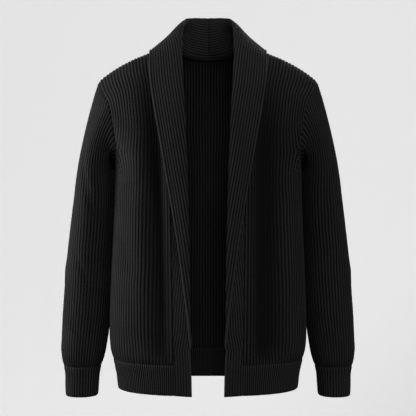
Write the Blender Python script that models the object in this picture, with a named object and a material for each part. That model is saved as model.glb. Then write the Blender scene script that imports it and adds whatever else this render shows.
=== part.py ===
"""A long-sleeved rib-knit blazer with a shawl collar and an open front, filled out with nobody in it.

Metres, +Z up. The front faces -Y and the wearer's left is +X. The origin lies between the two high
points of the shoulders. Each cut piece is a knit wall of its own: a middle surface worked out from
the sizes below, ribs raised on its outer face, and a plain inner face.
"""

from collections import namedtuple

import bmesh
import bpy
import numpy as np

# The knit wall and its seams
WALL = 0.0018
RIB_HEIGHT = 0.0012
SEAM_GAP = 0.0005
COLLAR_GAP = 0.0008
SLEEVE_GAP = 0.0007
COLUMNS_PER_INNER = 4
COLLAR_PER_INNER = 2

# Ribs, as columns of points: two columns, a valley and a ridge, to each rib
SIDE_COLUMNS = 12
SHOULDER_COLUMNS = 24
NECK_COLUMNS = 16
SLEEVE_COLUMNS = 56
CUFF_COLUMNS = 40
COLLAR_COLUMNS = 28

# Heights of the seams across the garment
HEM_BOTTOM = -0.680
HEM_SEAM = -0.622
UNDERARM = -0.240

# The torso: horizontal rings that are rounded boxes, and the drop over which they round to the shoulder
ROUNDNESS = 2.4
FRONT_DROP, FRONT_ROUNDING = 0.22, 1.8
BACK_DROP, BACK_ROUNDING = 0.20, 2.3
FRONT, BACK = -1, 1
LOWER_ROWS = 6
UPPER_LEVELS = (0.75, 0.5, 0.3, 0.15, 0.05, 0.0)
ARMHOLE_ROW = LOWER_ROWS + 1
SIDE_SHARE = 0.955
UNDERARM_SWEEP = 1.7
SLOPE_SPAN = 0.001
BODY_MIDDLE = (0.0, 0.0, -0.4)

# A typical ring, by which columns are spread evenly round each quarter
TYPICAL_WIDTH, TYPICAL_DEPTH = 0.190, 0.117
FINE = 600

Ring = namedtuple("Ring", "height half_width front_depth back_depth")
RINGS = (
    Ring(-0.680, 0.1800, 0.113, 0.107),
    Ring(-0.655, 0.1825, 0.115, 0.109),
    Ring(-0.622, 0.1895, 0.118, 0.112),
    Ring(-0.600, 0.1945, 0.120, 0.114),
    Ring(-0.560, 0.1965, 0.121, 0.116),
    Ring(-0.450, 0.1930, 0.119, 0.116),
    Ring(-0.306, 0.1875, 0.116, 0.116),
    Ring(-0.240, 0.1865, 0.115, 0.117),
    Ring(-0.205, 0.1920, 0.115, 0.118),
    Ring(-0.150, 0.2140, 0.115, 0.118),
    Ring(-0.100, 0.2400, 0.115, 0.118),
    Ring(0.050, 0.2750, 0.115, 0.118),
)

Shoulder = namedtuple("Shoulder", "half_width height")
SHOULDER_LINE = (
    Shoulder(0.000, 0.045),
    Shoulder(0.050, 0.026),
    Shoulder(0.087, 0.008),
    Shoulder(0.120, -0.009),
    Shoulder(0.152, -0.0225),
    Shoulder(0.190, -0.0435),
    Shoulder(0.219, -0.0655),
    Shoulder(0.240, -0.088),
)

# The armhole and the neck edge from level 0, the shoulder seam, down to level 1, the chest
UpperEdge = namedtuple("UpperEdge", "level front_armhole back_armhole front_neck")
UPPER_EDGES = (
    UpperEdge(0.00, 0.2190, 0.2190, 0.0876),
    UpperEdge(0.05, 0.2165, 0.2165, 0.0872),
    UpperEdge(0.15, 0.2095, 0.2105, 0.0855),
    UpperEdge(0.30, 0.1960, 0.2030, 0.0820),
    UpperEdge(0.50, 0.1873, 0.1960, 0.0780),
    UpperEdge(0.75, 0.1802, 0.1890, 0.0745),
    UpperEdge(1.00, 0.1781, 0.1850, 0.0725),
)
BackNeck = namedtuple("BackNeck", "half_width height")
BACK_NECK = (
    BackNeck(0.0000, 0.0010),
    BackNeck(0.0300, 0.0020),
    BackNeck(0.0600, 0.0050),
    BackNeck(0.0876, 0.0077),
)
BAND_SEAM_AT_HEM = 0.0665

# The sleeve: lines from the armhole to its first ring, then rings down to the cuff
SLEEVE_REACH = (0.0, 0.035, 0.09, 0.18, 0.32, 0.5, 0.74, 1.0)
SleeveRing = namedtuple("SleeveRing", "height outer inner middle_y half_depth")
SLEEVE_RINGS = (
    SleeveRing(-0.290, 0.2710, 0.1916, 0.024, 0.0650),
    SleeveRing(-0.345, 0.2784, 0.1922, 0.028, 0.0625),
    SleeveRing(-0.415, 0.2868, 0.1950, 0.030, 0.0585),
    SleeveRing(-0.485, 0.2924, 0.1976, 0.028, 0.0545),
    SleeveRing(-0.550, 0.2961, 0.2028, 0.023, 0.0510),
    SleeveRing(-0.595, 0.2969, 0.2085, 0.017, 0.0470),
    SleeveRing(-0.622, 0.2959, 0.2135, 0.013, 0.0430),
    SleeveRing(-0.640, 0.2921, 0.2190, 0.011, 0.0380),
)
CUFF_RINGS = (
    SleeveRing(-0.640, 0.2921, 0.2190, 0.011, 0.0380),
    SleeveRing(-0.655, 0.2891, 0.2225, 0.010, 0.0350),
    SleeveRing(-0.680, 0.2886, 0.2245, 0.010, 0.0335),
    SleeveRing(-0.700, 0.2880, 0.2260, 0.010, 0.0330),
)
SLEEVE_ROUNDNESS = 2.15

# How the sleeve's lines leave the armhole at the shoulder, at its middle and under the arm, and how they
# arrive at the first ring: each is a direction and a length
CAP_WAY, CAP_LENGTH = (0.32, 0.0, -0.95), 0.211
MIDDLE_WAY, MIDDLE_OUT, MIDDLE_LENGTH = 0.2, 0.9, 0.16
UNDER_WAY, UNDER_OUT, UNDER_LENGTH = 1.1, 0.75, 0.060
ARRIVE_HIGH, ARRIVE_LOW = 0.22, 0.06
LEAN_HIGH, LEAN_LOW = 0.10, -0.14

# The shawl collar, by distance along its seam from the centre back: where it rolls over, its free edge,
# the way that the roll turns, in degrees from +X, and how far the fall bulges, in roll radii
CollarSection = namedtuple(
    "CollarSection", "along roll_x roll_y roll_z free_x free_y free_z turn bulge"
)
COLLAR_SECTIONS = (
    CollarSection(0.000, 0.000, 0.088, 0.081, 0.000, 0.100, 0.006, 90, 0.2),
    CollarSection(0.045, 0.030, 0.082, 0.080, 0.050, 0.095, 0.003, 72, -0.2),
    CollarSection(0.090, 0.0465, 0.060, 0.0735, 0.092, 0.066, -0.006, 38, -0.4),
    CollarSection(0.130, 0.0520, 0.022, 0.0555, 0.1150, 0.018, 0.002, 4, -0.1),
    CollarSection(0.185, 0.0520, -0.026, 0.014, 0.1170, -0.038, -0.016, -30, 0.9),
    CollarSection(0.240, 0.0505, -0.076, -0.045, 0.1150, -0.077, -0.060, -62, 0.9),
    CollarSection(0.300, 0.0465, -0.107, -0.105, 0.1060, -0.103, -0.118, -82, 0.9),
    CollarSection(0.400, 0.0415, -0.1215, -0.208, 0.0895, -0.1165, -0.210, -90, 0.9),
    CollarSection(0.500, 0.0380, -0.1235, -0.308, 0.0720, -0.1200, -0.308, -90, 0.9),
    CollarSection(0.600, 0.0360, -0.1250, -0.408, 0.0560, -0.1225, -0.408, -90, 0.9),
    CollarSection(0.690, 0.0345, -0.1255, -0.498, 0.0445, -0.1265, -0.498, -90, 0.9),
    CollarSection(0.740, 0.0328, -0.1240, -0.548, 0.0370, -0.1290, -0.548, -90, 0.9),
    CollarSection(0.770, 0.0312, -0.1215, -0.588, 0.0318, -0.1225, -0.588, -90, 0.9),
    CollarSection(0.804, 0.0308, -0.1210, -0.622, 0.0309, -0.1210, -0.622, -90, 0.9),
    CollarSection(0.862, 0.0305, -0.1160, -0.681, 0.0306, -0.1160, -0.681, -90, 0.9),
)
# The roll rounds over this radius, from and to points this far from it. A fall under the flat one has
# no roll, and one under the full one has a smaller roll
ROLL_RADIUS = 0.0042
ROLL_LEAD, ROLL_LEAD_SHARE = 0.007, 0.45
FLAT_FALL, FULL_FALL = 0.004, 0.012
# The collar's wall turns to its own way, and its ribs rise, over these lengths
COLLAR_EASE = 0.010
COLLAR_RIB_START = 0.005
TANGENT_SPAN = 0.0012

# Points well inside the chest and inside the collar's seam, from which their edges face away
CHEST_INSIDE = (0.10, 0.05, -0.30)
SEAM_INSIDE = (0.15, 0.0, -0.30)
HEM_ROWS = 2

# The tape over the back neck seam
TAPE_WIDTH = 0.011
TAPE_THICKNESS = 0.001
TAPE_CLEARANCE = 0.0006
TAPE_ROWS = (0.05, 0.5, 1.0)

YARN = (0.013, 0.0125, 0.012, 1.0)
TAPE = (0.020, 0.019, 0.018, 1.0)


def column(table, name):
    """One named column of a table, as an array."""
    return np.array([getattr(row, name) for row in table], float)


def smooth(at, keys, values):
    """A smooth curve through values at rising keys: cubic pieces, with slopes averaged at each key."""
    steps = np.diff(keys)
    rises = np.diff(values) / steps
    slopes = np.concatenate([rises[:1], (rises[1:] + rises[:-1]) / 2, rises[-1:]])
    turning = np.concatenate([[False], rises[1:] * rises[:-1] <= 0, [False]])
    slopes[turning] = 0
    at = np.clip(at, keys[0], keys[-1])
    piece = np.clip(np.searchsorted(keys, at, side="right") - 1, 0, len(steps) - 1)
    step = steps[piece]
    t = (at - keys[piece]) / step
    return (
        values[piece] * (1 + 2 * t) * (1 - t) ** 2
        + slopes[piece] * step * t * (1 - t) ** 2
        + values[piece + 1] * t * t * (3 - 2 * t)
        + slopes[piece + 1] * step * t * t * (t - 1)
    )


def from_table(table, key, name, at):
    return smooth(np.asarray(at, float), column(table, key), column(table, name))


def unit(vectors):
    lengths = np.linalg.norm(vectors, axis=-1, keepdims=True)
    return vectors / np.maximum(lengths, 1e-12)


def distance_along(points):
    """The length of a line of points up to each of them."""
    steps = np.linalg.norm(np.diff(points, axis=0), axis=-1)
    return np.concatenate([[0.0], np.cumsum(steps)])


def spread(points, shares):
    """Points at the given shares of a line's length."""
    along = distance_along(points)
    return np.stack(
        [np.interp(np.asarray(shares) * along[-1], along, points[:, axis]) for axis in range(3)],
        axis=-1,
    )


# ---------------------------------------------------------------- the torso's middle surface

ANGLES = np.linspace(0, np.pi / 2, FINE)
ACROSS = np.cos(ANGLES) ** (2 / ROUNDNESS)
OUTWARD = np.sin(ANGLES) ** (2 / ROUNDNESS)
QUARTER = np.stack([TYPICAL_WIDTH * ACROSS, TYPICAL_DEPTH * OUTWARD, 0 * ANGLES], axis=-1)
QUARTER_SHARE = distance_along(QUARTER) / distance_along(QUARTER)[-1]


def across_at(turn):
    """How far across a ring, from 1 at the side to 0 at the middle, the share turn of its quarter is."""
    return np.interp(turn, QUARTER_SHARE, ACROSS)


def turn_at(across):
    return np.interp(-np.asarray(across), -ACROSS, QUARTER_SHARE)


def half_width(height):
    return from_table(RINGS, "height", "half_width", height)


def shoulder_height(x):
    return from_table(SHOULDER_LINE, "half_width", "height", x)


def on_torso(side, x, height):
    """Points of the torso's middle at x (0 or more) and height: a ring, eased to the shoulder line."""
    drop, rounding, name = (
        (FRONT_DROP, FRONT_ROUNDING, "front_depth")
        if side == FRONT
        else (BACK_DROP, BACK_ROUNDING, "back_depth")
    )
    across = np.clip(x / half_width(height), 0, 1)
    out = (1 - across**ROUNDNESS) ** (1 / ROUNDNESS)
    level = np.clip((shoulder_height(x) - height) / drop, 0, 1)
    ease = (1 - (1 - level) ** rounding) ** (1 / rounding)
    depth = from_table(RINGS, "height", name, height) * out * ease
    return np.stack([x + 0 * depth, side * depth, height + 0 * depth], axis=-1)


def torso_points(side):
    """The half torso from side seam to inner edge, as (chest, flank) grids of points.

    chest has a row for each height and a column for each rib edge, from the armhole to the neck
    edge or the centre back. flank lies beside it, from the side seam, and ends at the armhole's
    lower curve.
    """
    front = side == FRONT
    drop = FRONT_DROP if front else BACK_DROP
    columns = SHOULDER_COLUMNS if front else SHOULDER_COLUMNS + NECK_COLUMNS
    share = np.arange(columns + 1) / columns
    armhole_name = "front_armhole" if front else "back_armhole"
    side_turn = turn_at(SIDE_SHARE)
    hem = HEM_SEAM + SEAM_GAP / 2

    def inner_x(heights, level):
        if not front:
            return 0 * heights
        if level is not None:
            return 0 * heights + from_table(UPPER_EDGES, "level", "front_neck", level)
        chest_x = UPPER_EDGES[-1].front_neck
        chest_height = float(shoulder_height(chest_x)) - drop
        rise = (heights - HEM_SEAM) / (chest_height - HEM_SEAM)
        return BAND_SEAM_AT_HEM + (chest_x - BAND_SEAM_AT_HEM) * rise

    # Lower rows: evenly round the ring, from the hem to level 1
    guess = across_at(side_turn + (1 - side_turn) * share) * half_width(UNDERARM)
    top = shoulder_height(guess) - drop
    rows = []
    for row in range(LOWER_ROWS + 1):
        heights = hem + (top - hem) * row / LOWER_ROWS
        widths = half_width(heights)
        inner_turn = turn_at(inner_x(heights, None)[-1] / widths[-1])
        x = widths * across_at(side_turn + (inner_turn - side_turn) * share)
        x[-1] = inner_x(heights, None)[-1]
        rows.append(on_torso(side, x, heights))

    # Upper rows: between the armhole and the neck edge, up to the shoulder seam or the neck seam
    chest_x = rows[-1][:, 0]
    ring_share = (chest_x - chest_x[0]) / (chest_x[-1] - chest_x[0])
    top_x = UPPER_EDGES[0].front_armhole * (1 - share) if not front else None
    for level in UPPER_LEVELS:
        outer = float(from_table(UPPER_EDGES, "level", armhole_name, level))
        inner = float(inner_x(np.zeros(1), level)[0])
        even = level * ring_share + (1 - level) * share
        x = outer + (inner - outer) * even
        levels = np.full_like(x, level)
        if not front:
            neck_x = np.minimum(top_x, UPPER_EDGES[0].front_neck)
            neck = from_table(BACK_NECK, "half_width", "height", neck_x)
            neck_level = np.where(
                top_x < UPPER_EDGES[0].front_neck - 1e-9,
                (shoulder_height(top_x) - neck) / drop,
                0.0,
            )
            levels = np.maximum(neck_level, 0) * (1 - level) + level
        rows.append(on_torso(side, x, shoulder_height(x) - levels * drop))
    chest = np.stack(rows)

    # The flank: its last column is the chest's first, and its top runs down to the underarm
    edge = chest[: ARMHOLE_ROW + 1, 0]
    edge_turn = turn_at(edge[:, 0] / half_width(edge[:, 2]))
    part = np.arange(SIDE_COLUMNS + 1) / SIDE_COLUMNS
    armhole_height = UNDERARM + (edge[-1, 2] - UNDERARM) * part**UNDERARM_SWEEP
    rise = (edge[:, 2] - hem) / (edge[-1, 2] - hem)
    heights = hem + rise[:, None] * (armhole_height - hem)[None, :]
    x = half_width(heights) * across_at(edge_turn[:, None] * part[None, :])
    flank = on_torso(side, x, heights)
    flank[:, -1] = edge
    flank[:, 0, 1] = side * SEAM_GAP / 2
    chest[-1, : SHOULDER_COLUMNS + 1, 1] = side * SEAM_GAP / 2
    return chest, flank


def hem_points(side):
    """The hem band under one half: rows down from the hem seam, columns as the panel above has them."""
    chest, flank = torso_points(side)
    turns = turn_at(np.concatenate([flank[0, :-1, 0], chest[0, :, 0]]) / half_width(HEM_SEAM))
    rows = []
    for row in range(HEM_ROWS + 1):
        top = HEM_SEAM - SEAM_GAP / 2
        heights = np.full_like(turns, top + (HEM_BOTTOM - top) * row / HEM_ROWS)
        x = half_width(heights) * across_at(turns)
        if side == FRONT:
            # The inner columns close up to the band's seam, which stays where it is
            shift = BAND_SEAM_AT_HEM - x[-1]
            x = x + shift * np.clip((turns - turns[0]) / (turns[-1] - turns[0]), 0, 1) ** 2
        rows.append(on_torso(side, x, heights))
    points = np.stack(rows)
    points[:, 0, 1] = side * SEAM_GAP / 2
    return points


# ---------------------------------------------------------------- walls with ribs


def grid_normals(points, closed=False):
    """The unit normal at each point of a grid, from the points next to it."""
    if closed:
        along = np.roll(points, -1, axis=1) - np.roll(points, 1, axis=1)
    else:
        along = np.gradient(points, axis=1)
    up = np.gradient(points, axis=0)
    return unit(np.cross(along, up))


def face_away(normals, points, centre):
    """Turns a whole grid of normals to point away from a centre."""
    outward = np.sum(normals * (points - np.asarray(centre)), axis=-1)
    return normals if np.median(outward) > 0 else -normals


def rib_steps(columns):
    """The height of the ribs at each column: a valley at both edges, and ridges between."""
    return RIB_HEIGHT * (np.arange(columns + 1) % 2)


class Wall:
    """A knit wall as it is put together: its points, and the faces between them."""

    def __init__(self):
        self.points = []
        self.faces = []

    def place(self, points):
        """Adds a grid of points, and gives the grid of their numbers."""
        first = len(self.points)
        flat = points.reshape(-1, 3)
        self.points.extend(map(tuple, flat))
        return np.arange(first, first + len(flat)).reshape(points.shape[:-1])

    def cover(self, grid):
        """A face for each cell of a grid."""
        for low, high in zip(grid[:-1], grid[1:]):
            for a, b, c, d in zip(low[:-1], low[1:], high[1:], high[:-1]):
                self.faces.append((a, b, c, d))

    def close(self, outer, inner, kept=None):
        """Joins an edge of the ribbed face to the plain one's same edge, which has only the kept points."""
        kept = range(len(outer)) if kept is None else kept
        for first, last, begin, end in zip(inner[:-1], inner[1:], kept[:-1], kept[1:]):
            middle = (begin + end) // 2
            for k in range(begin, middle):
                self.faces.append((outer[k], outer[k + 1], first))
            self.faces.append((outer[middle], last, first))
            for k in range(middle, end):
                self.faces.append((outer[k], outer[k + 1], last))

    def finish(self, name, colour, mirror=False):
        """Makes the object, with its faces pointing out. The mirrored one is the right-hand piece."""
        points = np.array(self.points)
        if mirror:
            points[:, 0] *= -1
        mesh = bpy.data.meshes.new(name)
        mesh.from_pydata(points.tolist(), [], [tuple(map(int, face)) for face in self.faces])
        shape = bmesh.new()
        shape.from_mesh(mesh)
        bmesh.ops.remove_doubles(shape, verts=shape.verts, dist=1e-6)
        bmesh.ops.triangulate(shape, faces=shape.faces)
        bmesh.ops.recalc_face_normals(shape, faces=shape.faces)
        shape.to_mesh(mesh)
        shape.free()
        mesh.materials.append(knit(name, colour))
        made = bpy.data.objects.new(name, mesh)
        bpy.data.collections["rib_knit_blazer"].objects.link(made)
        return made


def knit(name, colour):
    """The piece's own matt yarn."""
    made = bpy.data.materials.new(name)
    made.use_nodes = True
    shader = made.node_tree.nodes["Principled BSDF"]
    shader.inputs["Base Color"].default_value = colour
    shader.inputs["Roughness"].default_value = 0.9
    shader.inputs["Metallic"].default_value = 0.0
    return made


def plain_columns(columns, step=COLUMNS_PER_INNER):
    """The columns that the plain face keeps."""
    return list(range(0, columns + 1, step))


def faces_of_wall(points, normals, ribs, kept):
    """The ribbed face of a wall whose middle is the grid, and the plain one with its kept columns."""
    outer = points + normals * (WALL / 2 + ribs)[..., None]
    inner = (points - normals * WALL / 2)[:, kept]
    return outer, inner


def add_wall(wall, points, normals, ribs, step=COLUMNS_PER_INNER):
    """A four-sided wall."""
    kept = plain_columns(points.shape[1] - 1, step)
    outer, inner = faces_of_wall(points, normals, ribs, kept)
    outer, inner = wall.place(outer), wall.place(inner)
    wall.cover(outer)
    wall.cover(inner)
    wall.close(outer[0], inner[0], kept)
    wall.close(outer[-1], inner[-1], kept)
    wall.close(outer[:, 0], inner[:, 0])
    wall.close(outer[:, -1], inner[:, -1])


def add_tube(wall, points, normals, ribs):
    """A wall that closes on itself round a tube. The last column of the grid repeats the first."""
    kept = plain_columns(points.shape[1] - 1)
    outer, inner = faces_of_wall(points, normals, ribs, kept)
    outer, inner = wall.place(outer[:, :-1]), wall.place(inner[:, :-1])
    outer = np.concatenate([outer, outer[:, :1]], axis=1)
    inner = np.concatenate([inner, inner[:, :1]], axis=1)
    wall.cover(outer)
    wall.cover(inner)
    wall.close(outer[0], inner[0], kept)
    wall.close(outer[-1], inner[-1], kept)


# ---------------------------------------------------------------- front, back and hem


def torso_normals(side):
    """The normals of the chest and flank grids of one half, the same from both sides of each seam."""
    chest, flank = torso_points(side)
    chest_normals = face_away(grid_normals(chest), chest, BODY_MIDDLE)
    flank_normals = face_away(grid_normals(flank), flank, BODY_MIDDLE)
    shared = unit(chest_normals[: ARMHOLE_ROW + 1, 0] + flank_normals[:, -1])
    chest_normals[: ARMHOLE_ROW + 1, 0] = shared
    flank_normals[:, -1] = shared
    # Front and back agree at the side seam and along the shoulder, and the neck edge starts from there
    flank_normals[:, 0, 1] = 0
    x = chest[-1, : SHOULDER_COLUMNS + 1, 0]
    slope = (shoulder_height(x + SLOPE_SPAN) - shoulder_height(x - SLOPE_SPAN)) / (2 * SLOPE_SPAN)
    chest_normals[-1, : SHOULDER_COLUMNS + 1] = unit(np.stack([-slope, 0 * x, 1 + 0 * x], axis=-1))
    if side == BACK:
        chest_normals[:, -1, 0] = 0
        begin, end = SHOULDER_COLUMNS, SHOULDER_COLUMNS + COLUMNS_PER_INNER
        turn = np.arange(COLUMNS_PER_INNER + 1)[:, None] / COLUMNS_PER_INNER
        first, last = chest_normals[-1, begin], chest_normals[-1, end]
        chest_normals[-1, begin : end + 1] = first * (1 - turn) + last * turn
    return unit(chest_normals), unit(flank_normals)


def add_half(wall, side):
    """A front, or half of the back, from the side seam inwards. It gives the inner column's numbers."""
    chest, flank = torso_points(side)
    chest_normals, flank_normals = torso_normals(side)
    chest_kept, flank_kept = plain_columns(chest.shape[1] - 1), plain_columns(SIDE_COLUMNS)
    if side == BACK:
        # The neck edge turns sharply where it leaves the shoulder
        chest_kept = sorted({*chest_kept, SHOULDER_COLUMNS + 1, SHOULDER_COLUMNS + 2})
    ribs = rib_steps(chest.shape[1] - 1)
    chest_outer, chest_inner = faces_of_wall(chest, chest_normals, ribs, chest_kept)
    ribs = rib_steps(SIDE_COLUMNS)
    flank_outer, flank_inner = faces_of_wall(flank, flank_normals, ribs, flank_kept)
    chest_outer, chest_inner = wall.place(chest_outer), wall.place(chest_inner)
    flank_outer, flank_inner = wall.place(flank_outer), wall.place(flank_inner)
    flank_outer[:, -1] = chest_outer[: ARMHOLE_ROW + 1, 0]
    flank_inner[:, -1] = chest_inner[: ARMHOLE_ROW + 1, 0]
    for grid in (chest_outer, chest_inner, flank_outer, flank_inner):
        wall.cover(grid)
    wall.close(chest_outer[0], chest_inner[0], chest_kept)
    wall.close(chest_outer[-1], chest_inner[-1], chest_kept)
    wall.close(chest_outer[ARMHOLE_ROW:, 0], chest_inner[ARMHOLE_ROW:, 0])
    wall.close(flank_outer[0], flank_inner[0], flank_kept)
    wall.close(flank_outer[-1], flank_inner[-1], flank_kept)
    wall.close(flank_outer[:, 0], flank_inner[:, 0])
    return chest_outer[:, -1], chest_inner[:, -1]


def mirrored(wall):
    """The same wall on the other side, with the middle column shared when its points are merged."""
    first = len(wall.points)
    wall.points += [(-x, y, z) for x, y, z in wall.points]
    wall.faces += [tuple(first + corner for corner in face) for face in wall.faces]
    return wall


def make_fronts():
    for name, mirror in (("front_left", False), ("front_right", True)):
        wall = Wall()
        outer, inner = add_half(wall, FRONT)
        wall.close(outer, inner)
        wall.finish(name, YARN, mirror)


def make_back():
    wall = Wall()
    add_half(wall, BACK)
    mirrored(wall).finish("back", YARN)


def hem_wall(side):
    """The hem band of one half: points, normals and ribs."""
    points = hem_points(side)
    normals = face_away(grid_normals(points), points, (0, 0, HEM_BOTTOM))
    normals[:, 0, 1] = 0
    if side == BACK:
        normals[:, -1, 0] = 0
    return points, unit(normals), rib_steps(points.shape[1] - 1)


def make_hem():
    for name, mirror in (("hem_left", False), ("hem_right", True)):
        wall = Wall()
        add_wall(wall, *hem_wall(FRONT))
        wall.finish(name, YARN, mirror)
    points, normals, ribs = hem_wall(BACK)
    flip = np.array([-1.0, 1.0, 1.0])
    whole = np.concatenate([points, points[:, -2::-1] * flip], axis=1)
    facing = np.concatenate([normals, normals[:, -2::-1] * flip], axis=1)
    wall = Wall()
    add_wall(wall, whole, facing, rib_steps(whole.shape[1] - 1))
    wall.finish("hem_back", YARN)


# ---------------------------------------------------------------- sleeves and cuffs


def armhole(side):
    """Half of the armhole, from shoulder to underarm: points, normals, and the way out of the panel."""
    chest, flank = torso_points(side)
    chest_normals, flank_normals = torso_normals(side)
    points = np.concatenate([chest[: ARMHOLE_ROW - 1 : -1, 0], flank[-1, -2::-1]])
    normals = np.concatenate([chest_normals[: ARMHOLE_ROW - 1 : -1, 0], flank_normals[-1, -2::-1]])
    points[0, 1] = points[-1, 1] = 0
    way = unit(np.cross(np.gradient(points, axis=0), normals))
    inside = np.array(CHEST_INSIDE) * (1, side, 1)
    if np.median(np.sum(way * (points - inside), axis=-1)) < 0:
        way = -way
    return points, normals, way


def sleeve_ring(table, height, shares):
    """A level ring of the sleeve: shares run from its outer side, over its front, once round."""
    outer = float(from_table(table[::-1], "height", "outer", height))
    inner = float(from_table(table[::-1], "height", "inner", height))
    depth = float(from_table(table[::-1], "height", "half_depth", height))
    middle_y = float(from_table(table[::-1], "height", "middle_y", height))
    angle = np.linspace(0, 2 * np.pi, 4 * FINE)
    power = 2 / SLEEVE_ROUNDNESS
    x = np.sign(np.cos(angle)) * np.abs(np.cos(angle)) ** power * (outer - inner) / 2
    y = -np.sign(np.sin(angle)) * np.abs(np.sin(angle)) ** power * depth
    ring = np.stack([(outer + inner) / 2 + x, middle_y + y, np.full_like(x, height)], axis=-1)
    return spread(ring, shares)


def sleeve_points():
    """The sleeve's middle: rows from the armhole to the cuff seam, columns once round from the top."""
    half = np.arange(SLEEVE_COLUMNS // 2 + 1) / (SLEEVE_COLUMNS // 2)
    starts, facing, ways = [], [], []
    for side in (FRONT, BACK):
        points, normals, way = armhole(side)
        along = distance_along(points) / distance_along(points)[-1]
        picked = [
            np.stack([np.interp(half, along, data[:, axis]) for axis in range(3)], axis=-1)
            for data in (points, normals, way)
        ]
        order = slice(None) if side == FRONT else slice(None, None, -1)
        keep = slice(None) if side == FRONT else slice(1, None)
        starts.append(picked[0][order][keep])
        facing.append(picked[1][order][keep])
        ways.append(picked[2][order][keep])
    start, normal, way = (np.concatenate(parts) for parts in (starts, facing, ways))
    way, normal = unit(way), unit(normal)
    way[0] = way[-1] = unit(way[0] + way[-1])
    normal[0] = normal[-1] = unit(normal[0] + normal[-1])
    start = start + way * SLEEVE_GAP
    shares = np.arange(SLEEVE_COLUMNS + 1) / SLEEVE_COLUMNS
    top = SLEEVE_RINGS[0].height
    end = sleeve_ring(SLEEVE_RINGS, top, shares)

    # How near each column is to the shoulder, 1 at the top and 0 at the underarm
    high = ((1 + np.cos(2 * np.pi * shares)) / 2)[:, None]
    out = np.array([1.0, 0.0, 0.0])
    lean = LEAN_HIGH * high[:, 0] + LEAN_LOW * (1 - high[:, 0])
    down = np.stack([lean, 0 * shares, -1 + 0 * shares], axis=-1)
    leave = (
        high**2 * np.array(CAP_WAY) * CAP_LENGTH
        + (1 - high**2) * high * (MIDDLE_WAY * way + MIDDLE_OUT * out) * MIDDLE_LENGTH
        + (1 - high) ** 2 * (UNDER_WAY * way + UNDER_OUT * out) * UNDER_LENGTH
    )
    arrive = down * (ARRIVE_HIGH * high + ARRIVE_LOW * (1 - high))
    rows = [start]
    for t in SLEEVE_REACH[1:]:
        rows.append(
            start * (1 + 2 * t) * (1 - t) ** 2
            + leave * t * (1 - t) ** 2
            + end * t * t * (3 - 2 * t)
            + arrive * t * t * (t - 1)
        )
    for ring in SLEEVE_RINGS[1:]:
        rows.append(sleeve_ring(SLEEVE_RINGS, ring.height, shares))
    rows[-1][:, 2] += SEAM_GAP / 2
    return np.stack(rows), normal


def tube_normals(points):
    """Normals round a tube whose last column repeats the first, pointing away from its middle line."""
    normals = grid_normals(points[:, :-1], closed=True)
    middle = points[:, :-1].mean(axis=1, keepdims=True)
    if np.median(np.sum(normals * (points[:, :-1] - middle), axis=-1)) < 0:
        normals = -normals
    return np.concatenate([normals, normals[:, :1]], axis=1)


def make_sleeves():
    points, first_normals = sleeve_points()
    normals = tube_normals(points)
    normals[0] = first_normals
    for name, mirror in (("sleeve_left", False), ("sleeve_right", True)):
        wall = Wall()
        add_tube(wall, points, normals, rib_steps(SLEEVE_COLUMNS))
        wall.finish(name, YARN, mirror)


def make_cuffs():
    shares = np.arange(CUFF_COLUMNS + 1) / CUFF_COLUMNS
    points = np.stack([sleeve_ring(CUFF_RINGS, ring.height, shares) for ring in CUFF_RINGS])
    points[0, :, 2] -= SEAM_GAP / 2
    normals = tube_normals(points)
    for name, mirror in (("cuff_left", False), ("cuff_right", True)):
        wall = Wall()
        add_tube(wall, points, normals, rib_steps(CUFF_COLUMNS))
        wall.finish(name, YARN, mirror)


# ---------------------------------------------------------------- collar and tape


def collar_seam():
    """The collar's sewn edge, from the centre back to the hem's bottom: points, normals, way out."""
    back, _ = torso_points(BACK)
    back_normals, _ = torso_normals(BACK)
    front, _ = torso_points(FRONT)
    front_normals, _ = torso_normals(FRONT)
    hem, hem_normals, _ = hem_wall(FRONT)
    # Every rib round the neck, and each column where the seam turns over the shoulder
    middle, turn = SHOULDER_COLUMNS + NECK_COLUMNS, SHOULDER_COLUMNS + 4
    neck = [*range(middle, turn, -2), *range(turn, SHOULDER_COLUMNS, -1)]
    points = np.concatenate([back[-1, neck], front[:0:-1, -1], hem[:, -1]])
    normals = np.concatenate([back_normals[-1, neck], front_normals[:0:-1, -1], hem_normals[:, -1]])
    points[len(neck), 1] = 0
    way = unit(np.cross(np.gradient(points, axis=0), normals))
    inside = np.array(SEAM_INSIDE)
    if np.median(np.sum(way * (points - inside), axis=-1)) < 0:
        way = -way
    way[0, 0] = normals[0, 0] = 0
    return points, unit(normals), unit(way)


def collar_line(start, roll, free, over, bulge):
    """One section of the collar, as a fine line from the seam over the roll to the free edge, and the
    length of its stand, the part before the roll."""
    fall = np.linalg.norm(free - roll)
    if fall < FLAT_FALL:
        # Below the end of the roll the collar runs on flat, as the front band
        line = start + (roll - start) * np.linspace(0, 1, FINE)[:, None]
        return line, np.linalg.norm(roll - start)
    radius = ROLL_RADIUS * min(fall / FULL_FALL, 1)
    into_stand, into_fall = unit(start - roll), unit(free - roll)
    knots = np.stack(
        [
            start,
            (start + roll) / 2 - over * radius,
            roll + into_stand * ROLL_LEAD - over * radius,
            roll,
            roll + into_fall * min(ROLL_LEAD, fall * ROLL_LEAD_SHARE) + over * radius,
            (roll + free) / 2 + over * radius * bulge,
            free,
        ]
    )
    reach = distance_along(knots)
    fine = np.linspace(0, reach[-1], FINE)
    line = np.stack([smooth(fine, reach, knots[:, axis]) for axis in range(3)], axis=-1)
    return line, np.interp(reach[3], fine, distance_along(line))


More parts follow.
